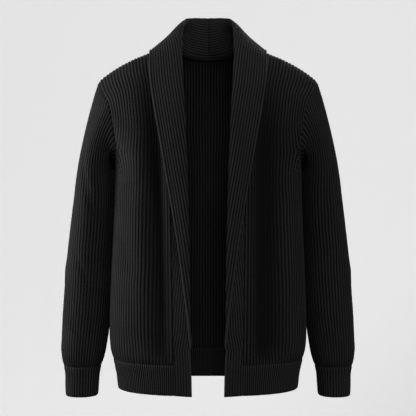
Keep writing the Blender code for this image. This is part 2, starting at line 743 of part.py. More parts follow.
def collar_wall():
    """The collar's middle, its normals, and its ribs, with a row for each point of its seam.

    Columns run from the seam to the roll, and on to the free edge. They keep their distance from the
    roll and from the free edge, and those that a narrower section has no room for close up, at the
    seam and at the roll. The ribbed face lies inside the neck, and shows on the fall.
    """
    seam, seam_normals, way = collar_seam()
    start = seam + way * COLLAR_GAP
    along_seam = distance_along(seam)
    section = {
        name: from_table(COLLAR_SECTIONS, "along", name, along_seam)
        for name in CollarSection._fields[1:]
    }
    roll = np.stack([section["roll_x"], section["roll_y"], section["roll_z"]], axis=-1)
    free = np.stack([section["free_x"], section["free_y"], section["free_z"]], axis=-1)
    turn = np.radians(section["turn"])
    over = np.stack([np.cos(turn), np.sin(turn), 0 * turn], axis=-1)
    lines, stands, falls = [], [], []
    for k in range(len(seam)):
        line, stand = collar_line(start[k], roll[k], free[k], over[k], section["bulge"][k])
        lines.append(line)
        stands.append(stand)
        falls.append(distance_along(line)[-1] - stand)
    stands, falls = np.array(stands)[:, None], np.array(falls)[:, None]
    back = 1 - np.arange(COLLAR_COLUMNS // 2 + 1)[None, :] / (COLLAR_COLUMNS // 2)
    from_seam = np.maximum(stands - back * stands.max(), 0)
    from_roll = np.maximum(falls - back[:, 1:] * falls.max(), 0)
    reach = np.concatenate([from_seam, stands + from_roll], axis=1)
    points, across = [], []
    for line, places in zip(lines, reach):
        length = distance_along(line)[-1]
        points.append(spread(line, places / length))
        ahead = spread(line, np.minimum(places + TANGENT_SPAN, length) / length)
        behind = spread(line, np.maximum(places - TANGENT_SPAN, 0) / length)
        across.append(unit(ahead - behind))
    points, across = np.stack(points), np.stack(across)
    along = np.gradient(points, axis=0)
    middle = COLLAR_COLUMNS // 2
    along[:, :middle] = np.where((from_seam[:, :-1] > 0)[..., None], along[:, :middle], along[:, :1])
    along[:, middle + 1 :] = np.where(
        (from_roll > 0)[..., None], along[:, middle + 1 :], along[:, middle : middle + 1]
    )
    normals = unit(np.cross(along, across))
    if normals[0, middle // 2, 1] > 0:
        normals = -normals
    # The front band's edge faces forward along the band, as the roll above it does
    flat = falls[:, 0] < FLAT_FALL / 2
    normals[flat, middle:] = unit(roll - start)[flat, None]
    # The wall turns from the way the seam's edge faces to its own way over a few millimetres
    share = np.clip(reach / COLLAR_EASE, 0, 1)
    share = (share * share * (3 - 2 * share))[..., None]
    normals = unit(normals * share - seam_normals[:, None] * (1 - share))
    normals[0, :, 0] = 0
    points[0, :, 0] = SEAM_GAP / 2
    clear = np.concatenate([from_seam, from_roll], axis=1)
    clear[:, middle] = 0
    ribs = rib_steps(COLLAR_COLUMNS) * np.clip(clear / COLLAR_RIB_START, 0, 1)
    ribs[:, :middle] *= np.clip((stands - from_seam[:, :-1]) / COLLAR_RIB_START, 0, 1)
    return points, unit(normals), ribs


def make_collar():
    points, normals, ribs = collar_wall()
    for name, mirror in (("collar_left", False), ("collar_right", True)):
        wall = Wall()
        add_wall(wall, points, normals, ribs, COLLAR_PER_INNER)
        wall.finish(name, YARN, mirror)


def make_tape():
    """A plain tape inside the back neck, along the top of the back."""
    chest, _ = torso_points(BACK)
    normals, _ = torso_normals(BACK)
    depth = WALL / 2 + TAPE_CLEARANCE + TAPE_THICKNESS / 2
    pick = slice(SHOULDER_COLUMNS + COLUMNS_PER_INNER, None, COLUMNS_PER_INNER)
    top = chest[-1, pick] - normals[-1, pick] * depth
    down = unit(chest[-2, pick] - chest[-1, pick])
    points = np.stack([top + down * TAPE_WIDTH * share for share in TAPE_ROWS])
    facing = np.stack([normals[-1, pick]] * len(points))
    flip = np.array([-1.0, 1.0, 1.0])
    points = np.concatenate([points, points[:, -2::-1] * flip], axis=1)
    facing = np.concatenate([facing, facing[:, -2::-1] * flip], axis=1)
    wall = Wall()
    near = wall.place(points + facing * TAPE_THICKNESS / 2)
    far = wall.place(points - facing * TAPE_THICKNESS / 2)
    wall.cover(near)
    wall.cover(far)
    wall.close(near[0], far[0])
    wall.close(near[-1], far[-1])
    wall.close(near[:, 0], far[:, 0])
    wall.close(near[:, -1], far[:, -1])
    wall.finish("neck_tape", TAPE)


def main():
    for thing in list(bpy.data.objects):
        bpy.data.objects.remove(thing, do_unlink=True)
    bpy.context.scene.collection.children.link(bpy.data.collections.new("rib_knit_blazer"))
    make_fronts()
    make_back()
    make_hem()
    make_sleeves()
    make_cuffs()
    make_collar()
    make_tape()


main()
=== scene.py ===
"""The looks of the open-front rib-knit blazer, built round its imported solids.

Each knitted piece is a thin shell on the same middle surface as its solid, with the real rib pitch
on both faces, soft creases, and a rounded rim. Metres, +Z up; the front faces -Y and the wearer's
left is +X. Pieces of the right-hand side are mirrored in numpy, so every object sits at the origin.
"""

import logging
import math
from dataclasses import dataclass, field, replace
from enum import Enum

import bpy
import numpy as np
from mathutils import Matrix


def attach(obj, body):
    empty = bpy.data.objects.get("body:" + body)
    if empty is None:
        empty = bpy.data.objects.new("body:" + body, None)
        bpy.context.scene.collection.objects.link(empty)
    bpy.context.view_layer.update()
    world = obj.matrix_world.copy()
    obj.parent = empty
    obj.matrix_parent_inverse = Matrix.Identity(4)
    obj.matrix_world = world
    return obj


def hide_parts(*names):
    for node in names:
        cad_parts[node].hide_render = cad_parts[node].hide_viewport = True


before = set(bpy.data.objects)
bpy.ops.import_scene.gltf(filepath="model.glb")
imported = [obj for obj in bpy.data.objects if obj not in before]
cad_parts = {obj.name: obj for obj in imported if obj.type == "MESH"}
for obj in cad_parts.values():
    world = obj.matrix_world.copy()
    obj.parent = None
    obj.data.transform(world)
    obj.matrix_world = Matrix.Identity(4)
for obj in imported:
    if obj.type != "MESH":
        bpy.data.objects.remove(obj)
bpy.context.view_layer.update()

log = logging.getLogger("knit_blazer")
Array = np.ndarray
BODY = "root"
MM = 0.001
MIRROR = np.array([-1.0, 1.0, 1.0])
SHORTEST = 1e-12
TOUCHING = 1e-9

# A distance that is past the reach of any seam, in metres
FAR = 1.0
# How far from a sewn edge the creases have grown to their full depth, in metres
CREASE_CLEAR = 0.03
# A crease grows between these two shares of its length, from outside its end to inside it
CREASE_EASE = (-0.15, 0.3)
# How far a rib sways, in ribs, and how far from a sewn edge it sways in full, in metres
SWAY = 0.05
SWAY_CLEAR = 0.02
# The waves of the sway: size, then in radians the turn for each metre up the rib, the turn from
# rib to rib, and the start
SWAY_WAVES = ((1.0, 31.0, 0.21, 0.0), (0.6, 73.0, -0.13, 1.0))
# The ribs' height at a seam, and how far away they have all of it
SEAM_HEIGHT = 0.33
SEAM_CLEAR = 4 * MM
# What the ribs lose of their height at a knitted end, and over what length
END_LOSS = 0.35
END_CLEAR = 3 * MM


# ---------------------------------------------------------------- numbers and curves


def unit(vectors: Array) -> Array:
    """Vectors divided by their lengths."""
    lengths = np.linalg.norm(vectors, axis=-1, keepdims=True)
    return vectors / np.maximum(lengths, SHORTEST)


def ramp(value: Array, low: float, high: float) -> Array:
    """A soft step from 0 at low to 1 at high: t squared times (3 - 2t)."""
    t = np.clip((value - low) / (high - low), 0, 1)
    return t * t * (3 - 2 * t)


def smooth(at: Array, keys: Array, values: Array) -> Array:
    """A smooth curve through values at rising keys.

    Between two keys it is the cubic with the values and slopes of both, where a key's slope is the
    mean of the two chords that meet there, or 0 where they turn back.

    Args:
        at: Where the curve is wanted.
        keys: The rising keys.
        values: A value for each key.

    Returns:
        The curve's value at each place in at.
    """
    steps = np.diff(keys)
    rises = np.diff(values) / steps
    slopes = np.concatenate([rises[:1], (rises[1:] + rises[:-1]) / 2, rises[-1:]])
    slopes[1:-1][rises[1:] * rises[:-1] <= 0] = 0
    at = np.clip(at, keys[0], keys[-1])
    piece = np.clip(np.searchsorted(keys, at, side="right") - 1, 0, len(steps) - 1)
    step = steps[piece]
    t = (at - keys[piece]) / step
    return (
        values[piece] * (1 + 2 * t) * (1 - t) ** 2
        + slopes[piece] * step * t * (1 - t) ** 2
        + values[piece + 1] * t * t * (3 - 2 * t)
        + slopes[piece + 1] * step * t * t * (t - 1)
    )


def distance_along(points: Array) -> Array:
    """The length of a line of points up to each of them."""
    steps = np.linalg.norm(np.diff(points, axis=0), axis=-1)
    return np.concatenate([[0.0], np.cumsum(steps)])


def pick_along(points: Array, places: Array) -> Array:
    """Points of a line at the given lengths along it."""
    along = distance_along(points)
    return np.stack([np.interp(places, along, points[:, axis]) for axis in range(3)], axis=-1)


def spread(points: Array, shares: Array) -> Array:
    """Points at the given shares of a line's length."""
    return pick_along(points, np.asarray(shares) * distance_along(points)[-1])


@dataclass(frozen=True)
class Table:
    """Named columns of given sizes, read as smooth curves over the first column.

    Attributes:
        names: The columns' names, of which the first is the key.
        rows: One tuple of sizes for each key, with the keys rising.
    """

    names: str
    rows: tuple[tuple[float, ...], ...]

    def column(self, name: str) -> Array:
        """One named column."""
        return np.array([row[self.names.split().index(name)] for row in self.rows], float)

    def at(self, name: str, key: Array) -> Array:
        """The named column's smooth curve, at the given keys."""
        first = self.names.split()[0]
        return smooth(np.asarray(key, float), self.column(first), self.column(name))


# ---------------------------------------------------------------- knitted walls


def grid_normals(points: Array, closed: bool = False) -> Array:
    """The unit normal at each point of a grid: its across step crossed with its up step.

    Args:
        points: The grid.
        closed: Whether the grid's last column goes on to its first.

    Returns:
        A unit vector for each point.
    """
    if closed:
        across = np.roll(points, -1, axis=1) - np.roll(points, 1, axis=1)
    else:
        across = np.gradient(points, axis=1)
    return unit(np.cross(across, np.gradient(points, axis=0)))


def face_away(normals: Array, points: Array, centre: tuple[float, float, float]) -> Array:
    """Turns a whole grid of normals so that most of them point away from a centre."""
    outward = np.sum(normals * (points - np.asarray(centre)), axis=-1)
    return normals if np.median(outward) > 0 else -normals


@dataclass(frozen=True)
class RibForm:
    """How far a rib knit's two faces stand off its middle.

    The face is base + height * |sin(pi r)| ** roundness, where r counts ribs from a valley. The
    back has its ridges where the face has its valleys, as in a true rib, so it uses |cos(pi r)|.

    Attributes:
        pitch: From one ridge to the next, in metres.
        height: A ridge over its valley, in metres.
        base: A valley's distance from the middle, in metres.
        roundness: Under 1 is a fat ridge with a narrow valley.
        back_share: The back's ridges, as a share of the face's.
    """

    pitch: float
    height: float = 1.6 * MM
    base: float = 0.6 * MM
    roundness: float = 0.8
    back_share: float = 0.6

    def face(self, ribs: Array) -> Array:
        """The outer face's distance from the middle."""
        return self.base + self.height * np.abs(np.sin(np.pi * ribs)) ** self.roundness

    def back(self, ribs: Array) -> Array:
        """The inner face's distance from the middle."""
        ridge = np.abs(np.cos(np.pi * ribs)) ** self.roundness
        return self.base + self.back_share * self.height * ridge

    def walls(self, ribs: Array, rise: Array) -> tuple[Array, Array]:
        """Both faces' distances from the middle: base + (full distance - base) * rise.

        Args:
            ribs: The rib number at each point.
            rise: How much of their height the ribs have there, from 0 to 1.

        Returns:
            The outer face's distance and the inner face's.
        """
        outer, inner = self.face(ribs) - self.base, self.back(ribs) - self.base
        return self.base + outer * rise, self.base + inner * rise


@dataclass
class KnitGrid:
    """A knitted piece's middle surface and what lies on it, all as grids of one shape.

    Attributes:
        points: The middle surface.
        normals: Unit vectors that point to the outer face.
        ribs: The rib number at each point, which may slant across the columns.
        wales: The length along the rib in metres, for the stitches.
        face: The outer face's distance from the middle.
        back: The inner face's distance from the middle.
        closed: Whether it is a tube, whose last column repeats its first.
        missing: Cells that aren't part of the piece, or None.
        shut: Points that have closed up on the next column's, or None.
        fold: How deep each point lies in a soft fold, from 0 to 1, for painted shade, or None.
    """

    points: Array
    normals: Array
    ribs: Array
    wales: Array
    face: Array
    back: Array
    closed: bool = False
    missing: Array | None = None
    shut: Array | None = None
    fold: Array | None = None

    def mirrored(self) -> "KnitGrid":
        """The same piece for the wearer's right side."""
        return replace(self, points=self.points * MIRROR, normals=self.normals * MIRROR)

    def joined_to_mirror(self) -> "KnitGrid":
        """The whole piece of which this is the left half.

        Returns:
            A grid whose middle column is this one's last, with its ribs counted on.
        """

        def both(values: Array, flip: Array | float = 1.0) -> Array:
            """A grid of values, then the same backwards, without its middle column twice."""
            return np.concatenate([values, values[:, -2::-1] * flip], axis=1)

        far = 2 * self.ribs[:, -1:] - self.ribs[:, -2::-1]
        missing = self.missing
        if missing is not None:
            missing = np.hstack([missing, missing[:, ::-1]])
        return replace(
            self,
            points=both(self.points, MIRROR),
            normals=both(self.normals, MIRROR),
            ribs=np.concatenate([self.ribs, far], axis=1),
            wales=both(self.wales),
            face=both(self.face),
            back=both(self.back),
            missing=missing,
        )


def shell_mesh(name: str, grid: KnitGrid, stitch: float) -> bpy.types.Object:
    """Makes the closed shell of a knitted piece: both faces, and a rounded rim between them.

    The outer face is middle + normal * face, the inner one is middle - normal * back, and the rim's
    ridge lies half their gap beyond the edge, in the surface. The UV map "knit" holds the rib
    number and the stitch number, and the attribute "fold", where there is one, the depth of a fold,
    which the material turns into painted shade.

    Args:
        name: The object's name.
        grid: The piece.
        stitch: The height of one stitch, in metres.

    Returns:
        The object, at the origin and shaded smooth.
    """
    rows, columns = grid.points.shape[:2]
    cell = np.arange(rows * columns).reshape(rows, columns)
    corners = np.stack([cell[:-1, :-1], cell[:-1, 1:], cell[1:, 1:], cell[1:, :-1]], axis=-1)
    if grid.missing is not None:
        corners = corners[~grid.missing]
    corners = corners.reshape(-1, 4)
    triangles = np.concatenate([corners[:, [0, 1, 2]], corners[:, [0, 2, 3]]])

    # Where each grid point's vertex is: a tube's last column is its first, and shut points are one
    vertex = cell.copy()
    if grid.closed:
        vertex[:, -1] = vertex[:, 0]
    if grid.shut is not None:
        last = grid.shut.sum(axis=1)
        vertex = np.where(grid.shut, np.take_along_axis(vertex, last[:, None], axis=1), vertex)
    vertex = vertex.reshape(-1)
    ends = vertex[triangles]
    real = (ends[:, 0] != ends[:, 1]) & (ends[:, 1] != ends[:, 2]) & (ends[:, 2] != ends[:, 0])
    triangles, ends = triangles[real], ends[real]

    middle = grid.points.reshape(-1, 3)
    normals = grid.normals.reshape(-1, 3)
    corner = middle[ends[:, 0]]
    crossed = np.cross(middle[ends[:, 1]] - corner, middle[ends[:, 2]] - corner)
    if np.sum(crossed * normals[ends[:, 0]]) < 0:
        triangles, ends = triangles[:, ::-1], ends[:, ::-1]

    # The rim runs along the edges that only one triangle has
    sides = np.concatenate([ends[:, [0, 1]], ends[:, [1, 2]], ends[:, [2, 0]]])
    sides_uv = np.concatenate([triangles[:, [0, 1]], triangles[:, [1, 2]], triangles[:, [2, 0]]])
    apex = np.concatenate([ends[:, 2], ends[:, 0], ends[:, 1]])
    _, which, many = np.unique(
        np.sort(sides, axis=1), axis=0, return_inverse=True, return_counts=True
    )
    lone = many[which.reshape(-1)] == 1
    sides, sides_uv, apex = sides[lone], sides_uv[lone], apex[lone]
    run = unit(middle[sides[:, 1]] - middle[sides[:, 0]])
    away = middle[sides].mean(axis=1) - middle[apex]
    away = unit(away - run * np.sum(away * run, axis=-1, keepdims=True))
    outward = np.zeros_like(middle)
    np.add.at(outward, sides[:, 0], away)
    np.add.at(outward, sides[:, 1], away)
    outward = unit(outward)

    face, back = grid.face.reshape(-1, 1), grid.back.reshape(-1, 1)
    count = len(middle)
    places = np.concatenate(
        [
            middle + normals * face,
            middle - normals * back,
            middle + normals * (face - back) / 2 + outward * (face + back) / 2,
        ]
    )
    a, b = sides[:, 0], sides[:, 1]
    rim = np.concatenate(
        [
            np.stack([b, a, a + 2 * count], axis=1),
            np.stack([b, a + 2 * count, b + 2 * count], axis=1),
            np.stack([b + 2 * count, a + 2 * count, a + count], axis=1),
            np.stack([b + 2 * count, a + count, b + count], axis=1),
        ]
    )
    ua, ub = sides_uv[:, 0], sides_uv[:, 1]
    rim_uv = np.concatenate([np.stack([ub, ua, ua], axis=1), np.stack([ub, ua, ub], axis=1)] * 2)
    faces = np.concatenate([ends, ends[:, ::-1] + count, rim])
    sources = np.concatenate([triangles, triangles[:, ::-1], rim_uv])
    used, faces = np.unique(faces, return_inverse=True)
    faces = faces.reshape(-1, 3)
    knit = np.stack([grid.ribs.reshape(-1), grid.wales.reshape(-1) / stitch], axis=-1)
    knit = knit[sources.reshape(-1)]

    mesh = bpy.data.meshes.new(name)
    mesh.vertices.add(len(used))
    mesh.vertices.foreach_set("co", places[used].astype(np.float32).reshape(-1))
    mesh.loops.add(faces.size)
    mesh.loops.foreach_set("vertex_index", faces.astype(np.int32).reshape(-1))
    mesh.polygons.add(len(faces))
    mesh.polygons.foreach_set("loop_start", np.arange(0, faces.size, 3, dtype=np.int32))
    layer = mesh.uv_layers.new(name="knit")
    layer.data.foreach_set("uv", knit.astype(np.float32).reshape(-1))
    if grid.fold is not None:
        layers = np.tile(grid.fold.reshape(-1), 3)
        fold = mesh.attributes.new("fold", "FLOAT", "POINT")
        fold.data.foreach_set("value", layers[used].astype(np.float32))
    mesh.update(calc_edges=True)
    mesh.validate()
    mesh.shade_smooth()
    made = bpy.data.objects.new(name, mesh)
    bpy.context.scene.collection.objects.link(made)
    return made


@dataclass(frozen=True)
class Crease:
    """A soft trough or ridge in the cloth, along a straight line of its panel.

    It pushes the middle surface by depth * exp(-(distance / width) ** 2), eased to nothing at both
    ends.

    Attributes:
        start: One end, in the panel's own two measures.
        end: The other end.
        width: Its half width in metres.
        depth: Out of the cloth, or into it where negative, in metres.
    """

    start: tuple[float, float]
    end: tuple[float, float]
    width: float
    depth: float

    def push(self, across: Array, up: Array) -> Array:
        """The push at each point of a panel.

        Args:
            across: The first of the panel's two measures at each point.
            up: The second.

        Returns:
            The push along the normal, in metres.
        """
        begin, run = np.array(self.start), np.subtract(self.end, self.start)
        length = np.hypot(*run)
        along = ((across - begin[0]) * run[0] + (up - begin[1]) * run[1]) / length
        off = ((across - begin[0]) * run[1] - (up - begin[1]) * run[0]) / length
        outside, inside = (share * length for share in CREASE_EASE)
        begun = ramp(along, outside, inside)
        ended = ramp(along, length - inside, length - outside)
        return self.depth * np.exp(-((off / self.width) ** 2)) * begun * (1 - ended)


def creased(across: Array, up: Array, creases: tuple[Crease, ...]) -> Array:
    """All the creases of a panel together."""
    return sum((crease.push(across, up) for crease in creases), np.zeros_like(across))


def wander(ribs: Array, up: Array, amount: float = SWAY) -> Array:
    """How a hand-steamed knit's ribs sway, in ribs: two slow waves up the ribs, side by side.

    Args:
        ribs: The rib number at each point.
        up: The length along the rib.
        amount: The first wave's size, in ribs.

    Returns:
        The sway at each point.
    """
    waves = (
        size * np.sin(up * climb + ribs * turn + start) for size, climb, turn, start in SWAY_WAVES
    )
    return amount * sum(waves)


def seam_fade(distance: Array) -> Array:
    """How much of their height the ribs have at a distance from a seam: a third on it, then all."""
    return SEAM_HEIGHT + (1 - SEAM_HEIGHT) * ramp(distance, 0, SEAM_CLEAR)


def end_fade(distance: Array) -> Array:
    """How much of their height the ribs keep at a distance from a knitted end, where they sink."""
    return 1 - END_LOSS * ramp(-distance, -END_CLEAR, 0)


def from_edges(points: Array) -> tuple[Array, Array, Array, Array]:
    """The distance of each grid point from the first and last column and the first and last row.

    They are measured along the grid's own rows and columns.

    Args:
        points: The grid.

    Returns:
        Four grids of distances.
    """
    across = np.linalg.norm(np.diff(points, axis=1), axis=-1)
    up = np.linalg.norm(np.diff(points, axis=0), axis=-1)
    first = np.pad(np.cumsum(across, axis=1), ((0, 0), (1, 0)))
    low = np.pad(np.cumsum(up, axis=0), ((1, 0), (0, 0)))
    return first, first[:, -1:] - first, low, low[-1:] - low


# ---------------------------------------------------------------- the torso


class Half(Enum):
    """Which half of the body a panel covers, as the sign of its Y."""

    FRONT = -1
    BACK = 1


@dataclass
class TorsoPanel:
    """Half a front or half the back: the flank from the side seam, then the chest, as one grid.

    Attributes:
        points: The middle surface. Rows rise from the hem seam and columns run from the side seam.
        normals: Unit vectors that point out of the body.
        flank: How many columns come before the armhole's own column.
        armhole_row: The row where the flank ends, at the top of the armhole's lower curve.
        shoulder: How many chest columns lie along the shoulder seam.
    """

    points: Array
    normals: Array
    flank: int
    armhole_row: int
    shoulder: int

    def chest(self) -> tuple[Array, Array]:
        """The chest's points and normals."""
        return self.points[:, self.flank :], self.normals[:, self.flank :]

    def armhole(self) -> tuple[Array, Array]:
        """The armhole edge from the shoulder to the underarm.

        Returns:
            Its points, with both ends on the side seam's plane, and their normals.
        """
        lines = []
        for grid in (self.points, self.normals):
            down = grid[: self.armhole_row - 1 : -1, self.flank]
            under = grid[self.armhole_row, self.flank - 1 :: -1]
            lines.append(np.concatenate([down, under]))
        lines[0][[0, -1], 1] = 0
        return lines[0], lines[1]

    def from_seams(self, inner_sewn: bool) -> Array:
        """How far each point lies from the nearest sewn edge, along the grid's rows and columns.

        Args:
            inner_sewn: Whether the last column is sewn, as a front's is, or is the back's middle.

        Returns:
            The distances. A chest point beside the flank isn't near an edge there.
        """
        chest, _ = self.chest()
        rows, columns = self.points.shape[:2]
        edge = np.full((rows, columns), FAR)
        first, last, low, high = from_edges(chest)
        armhole = np.where(np.arange(rows)[:, None] >= self.armhole_row, first, FAR)
        sewn = [armhole, low, high, *([last] if inner_sewn else [])]
        edge[:, self.flank :] = np.minimum.reduce(sewn)
        first, _, low, high = from_edges(self.points[: self.armhole_row + 1, : self.flank + 1])
        flank_edge = np.minimum.reduce([first, low, high])
        edge[: self.armhole_row + 1, : self.flank] = flank_edge[:, :-1]
        return edge

    def rib_numbers(self, columns_per_rib: int, sways: Array) -> Array:
        """The rib number at each point, with a slight sway.

        Args:
            columns_per_rib: Columns of points for each rib.
            sways: How much of the sway each point has, from 0 to 1.

        Returns:
            The rib numbers, counted from the side seam.
        """
        height = self.points[..., 2]
        ribs = np.arange(height.shape[1]) / columns_per_rib + 0 * height
        return ribs + wander(ribs, height) * sways

    def knitted(
        self, form: RibForm, ribs: Array, edge: Array, push: Array, fold: Array | None = None
    ) -> KnitGrid:
        """The panel as a knitted piece: middle + normal * push, without the cells above the flank.

        Args:
            form: Its ribs' form.
            ribs: The rib number at each point.
            edge: How far each point lies from a sewn edge.
            push: How far the creases push each point out.
            fold: How deep each point lies in a fold, for painted shade, or None.

        Returns:
            The piece's grid.
        """
        missing = np.zeros(np.subtract(ribs.shape, 1), bool)
        missing[self.armhole_row :, : self.flank] = True
        face, back = form.walls(ribs, seam_fade(edge))
        return KnitGrid(
            points=self.points + self.normals * push[..., None],
            normals=self.normals,
            ribs=ribs,
            wales=self.points[..., 2],
            face=face,
            back=back,
            missing=missing,
            fold=fold,
        )


@dataclass
class Torso:
    """The torso's middle surface, with the part's own driving sizes.

    A level ring is a rounded box: (x / width) ** n + (y / depth) ** n = 1. Over the last stretch
    below the shoulder line its depth closes by (1 - (1 - level) ** p) ** (1 / p), where level is 0
    on the shoulder seam and 1 at the chest.
    """

    roundness: float = 2.4
    hem_bottom: float = -0.680
    hem_seam: float = -0.622
    underarm: float = -0.240
    front_drop: float = 0.22
    front_rounding: float = 1.8
    back_drop: float = 0.20
    back_rounding: float = 2.3
    side_share: float = 0.955
    underarm_sweep: float = 1.7
    seam_gap: float = 0.5 * MM
    band_seam_at_hem: float = 0.0665
    typical_width: float = 0.190
    typical_depth: float = 0.117
    columns_per_rib: int = 5
    flank_ribs: int = 11
    shoulder_ribs: int = 21
    neck_ribs: int = 14
    lower_rows: int = 40
    armhole_rows: int = 5
    shoulder_rows: int = 33
    turning_rows: int = 4
    neck_turn_ribs: int = 2
    armhole_level: float = 0.75
    middle: tuple[float, float, float] = (0.0, 0.0, -0.4)
    quarter_steps: int = 900
    rings: Table = Table(
        "height half_width front_depth back_depth",
        (
            (-0.680, 0.1800, 0.113, 0.107),
            (-0.655, 0.1825, 0.115, 0.109),
            (-0.622, 0.1895, 0.118, 0.112),
            (-0.600, 0.1945, 0.120, 0.114),
            (-0.560, 0.1965, 0.121, 0.116),
            (-0.450, 0.1930, 0.119, 0.116),
            (-0.306, 0.1875, 0.116, 0.116),
            (-0.240, 0.1865, 0.115, 0.117),
            (-0.205, 0.1920, 0.115, 0.118),
            (-0.150, 0.2140, 0.115, 0.118),
            (-0.100, 0.2400, 0.115, 0.118),
            (0.050, 0.2750, 0.115, 0.118),
        ),
    )
    shoulder: Table = Table(
        "half_width height",
        (
            (0.000, 0.045),
            (0.050, 0.026),
            (0.087, 0.008),
            (0.120, -0.009),
            (0.152, -0.0225),
            (0.190, -0.0435),
            (0.219, -0.0655),
            (0.240, -0.088),
        ),
    )
    edges: Table = Table(
        "level front_armhole back_armhole front_neck",
        (
            (0.00, 0.2190, 0.2190, 0.0876),
            (0.05, 0.2165, 0.2165, 0.0872),
            (0.15, 0.2095, 0.2105, 0.0855),
            (0.30, 0.1960, 0.2030, 0.0820),
            (0.50, 0.1873, 0.1960, 0.0780),
            (0.75, 0.1802, 0.1890, 0.0745),
            (1.00, 0.1781, 0.1850, 0.0725),
        ),
    )
    back_neck: Table = Table(
        "half_width height",
        ((0.0000, 0.0010), (0.0300, 0.0020), (0.0600, 0.0050), (0.0876, 0.0077)),
    )
    panels: dict[Half, TorsoPanel] = field(default_factory=dict)

    def __post_init__(self) -> None:
        """Works out how far round a quarter ring each share of its length is, and both panels."""
        angle = np.linspace(0, np.pi / 2, self.quarter_steps)
        self.across = np.cos(angle) ** (2 / self.roundness)
        outward = np.sin(angle) ** (2 / self.roundness)
        x, y = self.typical_width * self.across, self.typical_depth * outward
        quarter = np.stack([x, y, 0 * angle], axis=-1)
        self.share = distance_along(quarter) / distance_along(quarter)[-1]
        for half in Half:
            self.panels[half] = self.panel(half)

    def across_at(self, turn: Array) -> Array:
        """How far across a ring, from 1 at the side to 0 in the middle, the share turn of it is."""
        return np.interp(turn, self.share, self.across)

    def turn_at(self, across: Array) -> Array:
        """The share of a quarter ring at which it is this far across."""
        return np.interp(-np.asarray(across), -self.across, self.share)

    def place(self, half: Half, x: Array, height: Array) -> Array:
        """Points of the torso's middle surface.

        Args:
            half: Front or back.
            x: How far across they are, from 0 up.
            height: Their heights.

        Returns:
            The points.
        """
        front = half is Half.FRONT
        drop = self.front_drop if front else self.back_drop
        rounding = self.front_rounding if front else self.back_rounding
        across = np.clip(x / self.rings.at("half_width", height), 0, 1)
        out = (1 - across**self.roundness) ** (1 / self.roundness)
        level = np.clip((self.shoulder.at("height", x) - height) / drop, 0, 1)
        ease = (1 - (1 - level) ** rounding) ** (1 / rounding)
        depth = self.rings.at("front_depth" if front else "back_depth", height) * out * ease
        return np.stack([x + 0 * depth, half.value * depth, height + 0 * depth], axis=-1)

    def inner_edge(self, half: Half, height: float) -> float:
        """How far across a front's band seam lies below the chest.

        Args:
            half: Front or back. The back reaches the middle.
            height: The height at which it is wanted.

        Returns:
            The seam's x.
        """
        if half is Half.BACK:
            return 0.0
        chest_x = float(self.edges.at("front_neck", 1.0))
        chest_height = float(self.shoulder.at("height", chest_x)) - self.front_drop
        rise = (height - self.hem_seam) / (chest_height - self.hem_seam)
        return self.band_seam_at_hem + (chest_x - self.band_seam_at_hem) * rise

    def panel(self, half: Half) -> TorsoPanel:
        """Half a front or half the back.

        The chest's lower rows are spread evenly round the ring. Its upper rows run between the
        armhole and the neck edge, closer together towards the shoulder, where the surface turns
        over. The flank's rows rise with them and bow down to the underarm.

        Args:
            half: Front or back.

        Returns:
            The panel's grid.
        """
        front = half is Half.FRONT
        drop = self.front_drop if front else self.back_drop
        shoulder = self.shoulder_ribs * self.columns_per_rib
        columns = shoulder if front else shoulder + self.neck_ribs * self.columns_per_rib
        share = np.arange(columns + 1) / columns
        hem = self.hem_seam + self.seam_gap / 2
        side_turn = float(self.turn_at(self.side_share))
        widest = self.rings.at("half_width", self.underarm)
        neck_turn = float(self.turn_at(self.edges.at("front_neck", 1.0) / widest))
        chest_turn = neck_turn if front else 1.0
        guess = self.across_at(side_turn + (chest_turn - side_turn) * share) * widest
        top = self.shoulder.at("height", guess) - drop
        rows = []
        for row in range(self.lower_rows + 1):
            heights = hem + (top - hem) * row / self.lower_rows
            widths = self.rings.at("half_width", heights)
            edge = self.inner_edge(half, heights[-1])
            inner_turn = float(self.turn_at(edge / widths[-1]))
            x = widths * self.across_at(side_turn + (inner_turn - side_turn) * share)
            x[-1] = edge
            rows.append(self.place(half, x, heights))
        chest_x = rows[-1][:, 0]
        ring_share = (chest_x - chest_x[0]) / (chest_x[-1] - chest_x[0])
        levels = np.concatenate(
            [
                np.linspace(1, self.armhole_level, self.armhole_rows + 1)[1:],
                np.linspace(math.sqrt(self.armhole_level), 0, self.shoulder_rows + 1)[1:] ** 2,
            ]
        )
        neck_edge = float(self.edges.at("front_neck", 0.0))
        for level in levels:
            outer = float(self.edges.at("front_armhole" if front else "back_armhole", level))
            inner = float(self.edges.at("front_neck", level)) if front else 0.0
            x = outer + (inner - outer) * (level * ring_share + (1 - level) * share)
            below = np.full_like(x, level)
            if not front:
                top_x = float(self.edges.at("front_armhole", 0.0)) * (1 - share)
                neck = self.back_neck.at("height", np.minimum(top_x, neck_edge))
                dip = (self.shoulder.at("height", top_x) - neck) / drop
                dip = np.where(top_x < neck_edge - TOUCHING, dip, 0)
                below = np.maximum(dip, 0) * (1 - level) + level
            rows.append(self.place(half, x, self.shoulder.at("height", x) - below * drop))
        chest = np.stack(rows)
        armhole_row = self.lower_rows + self.armhole_rows

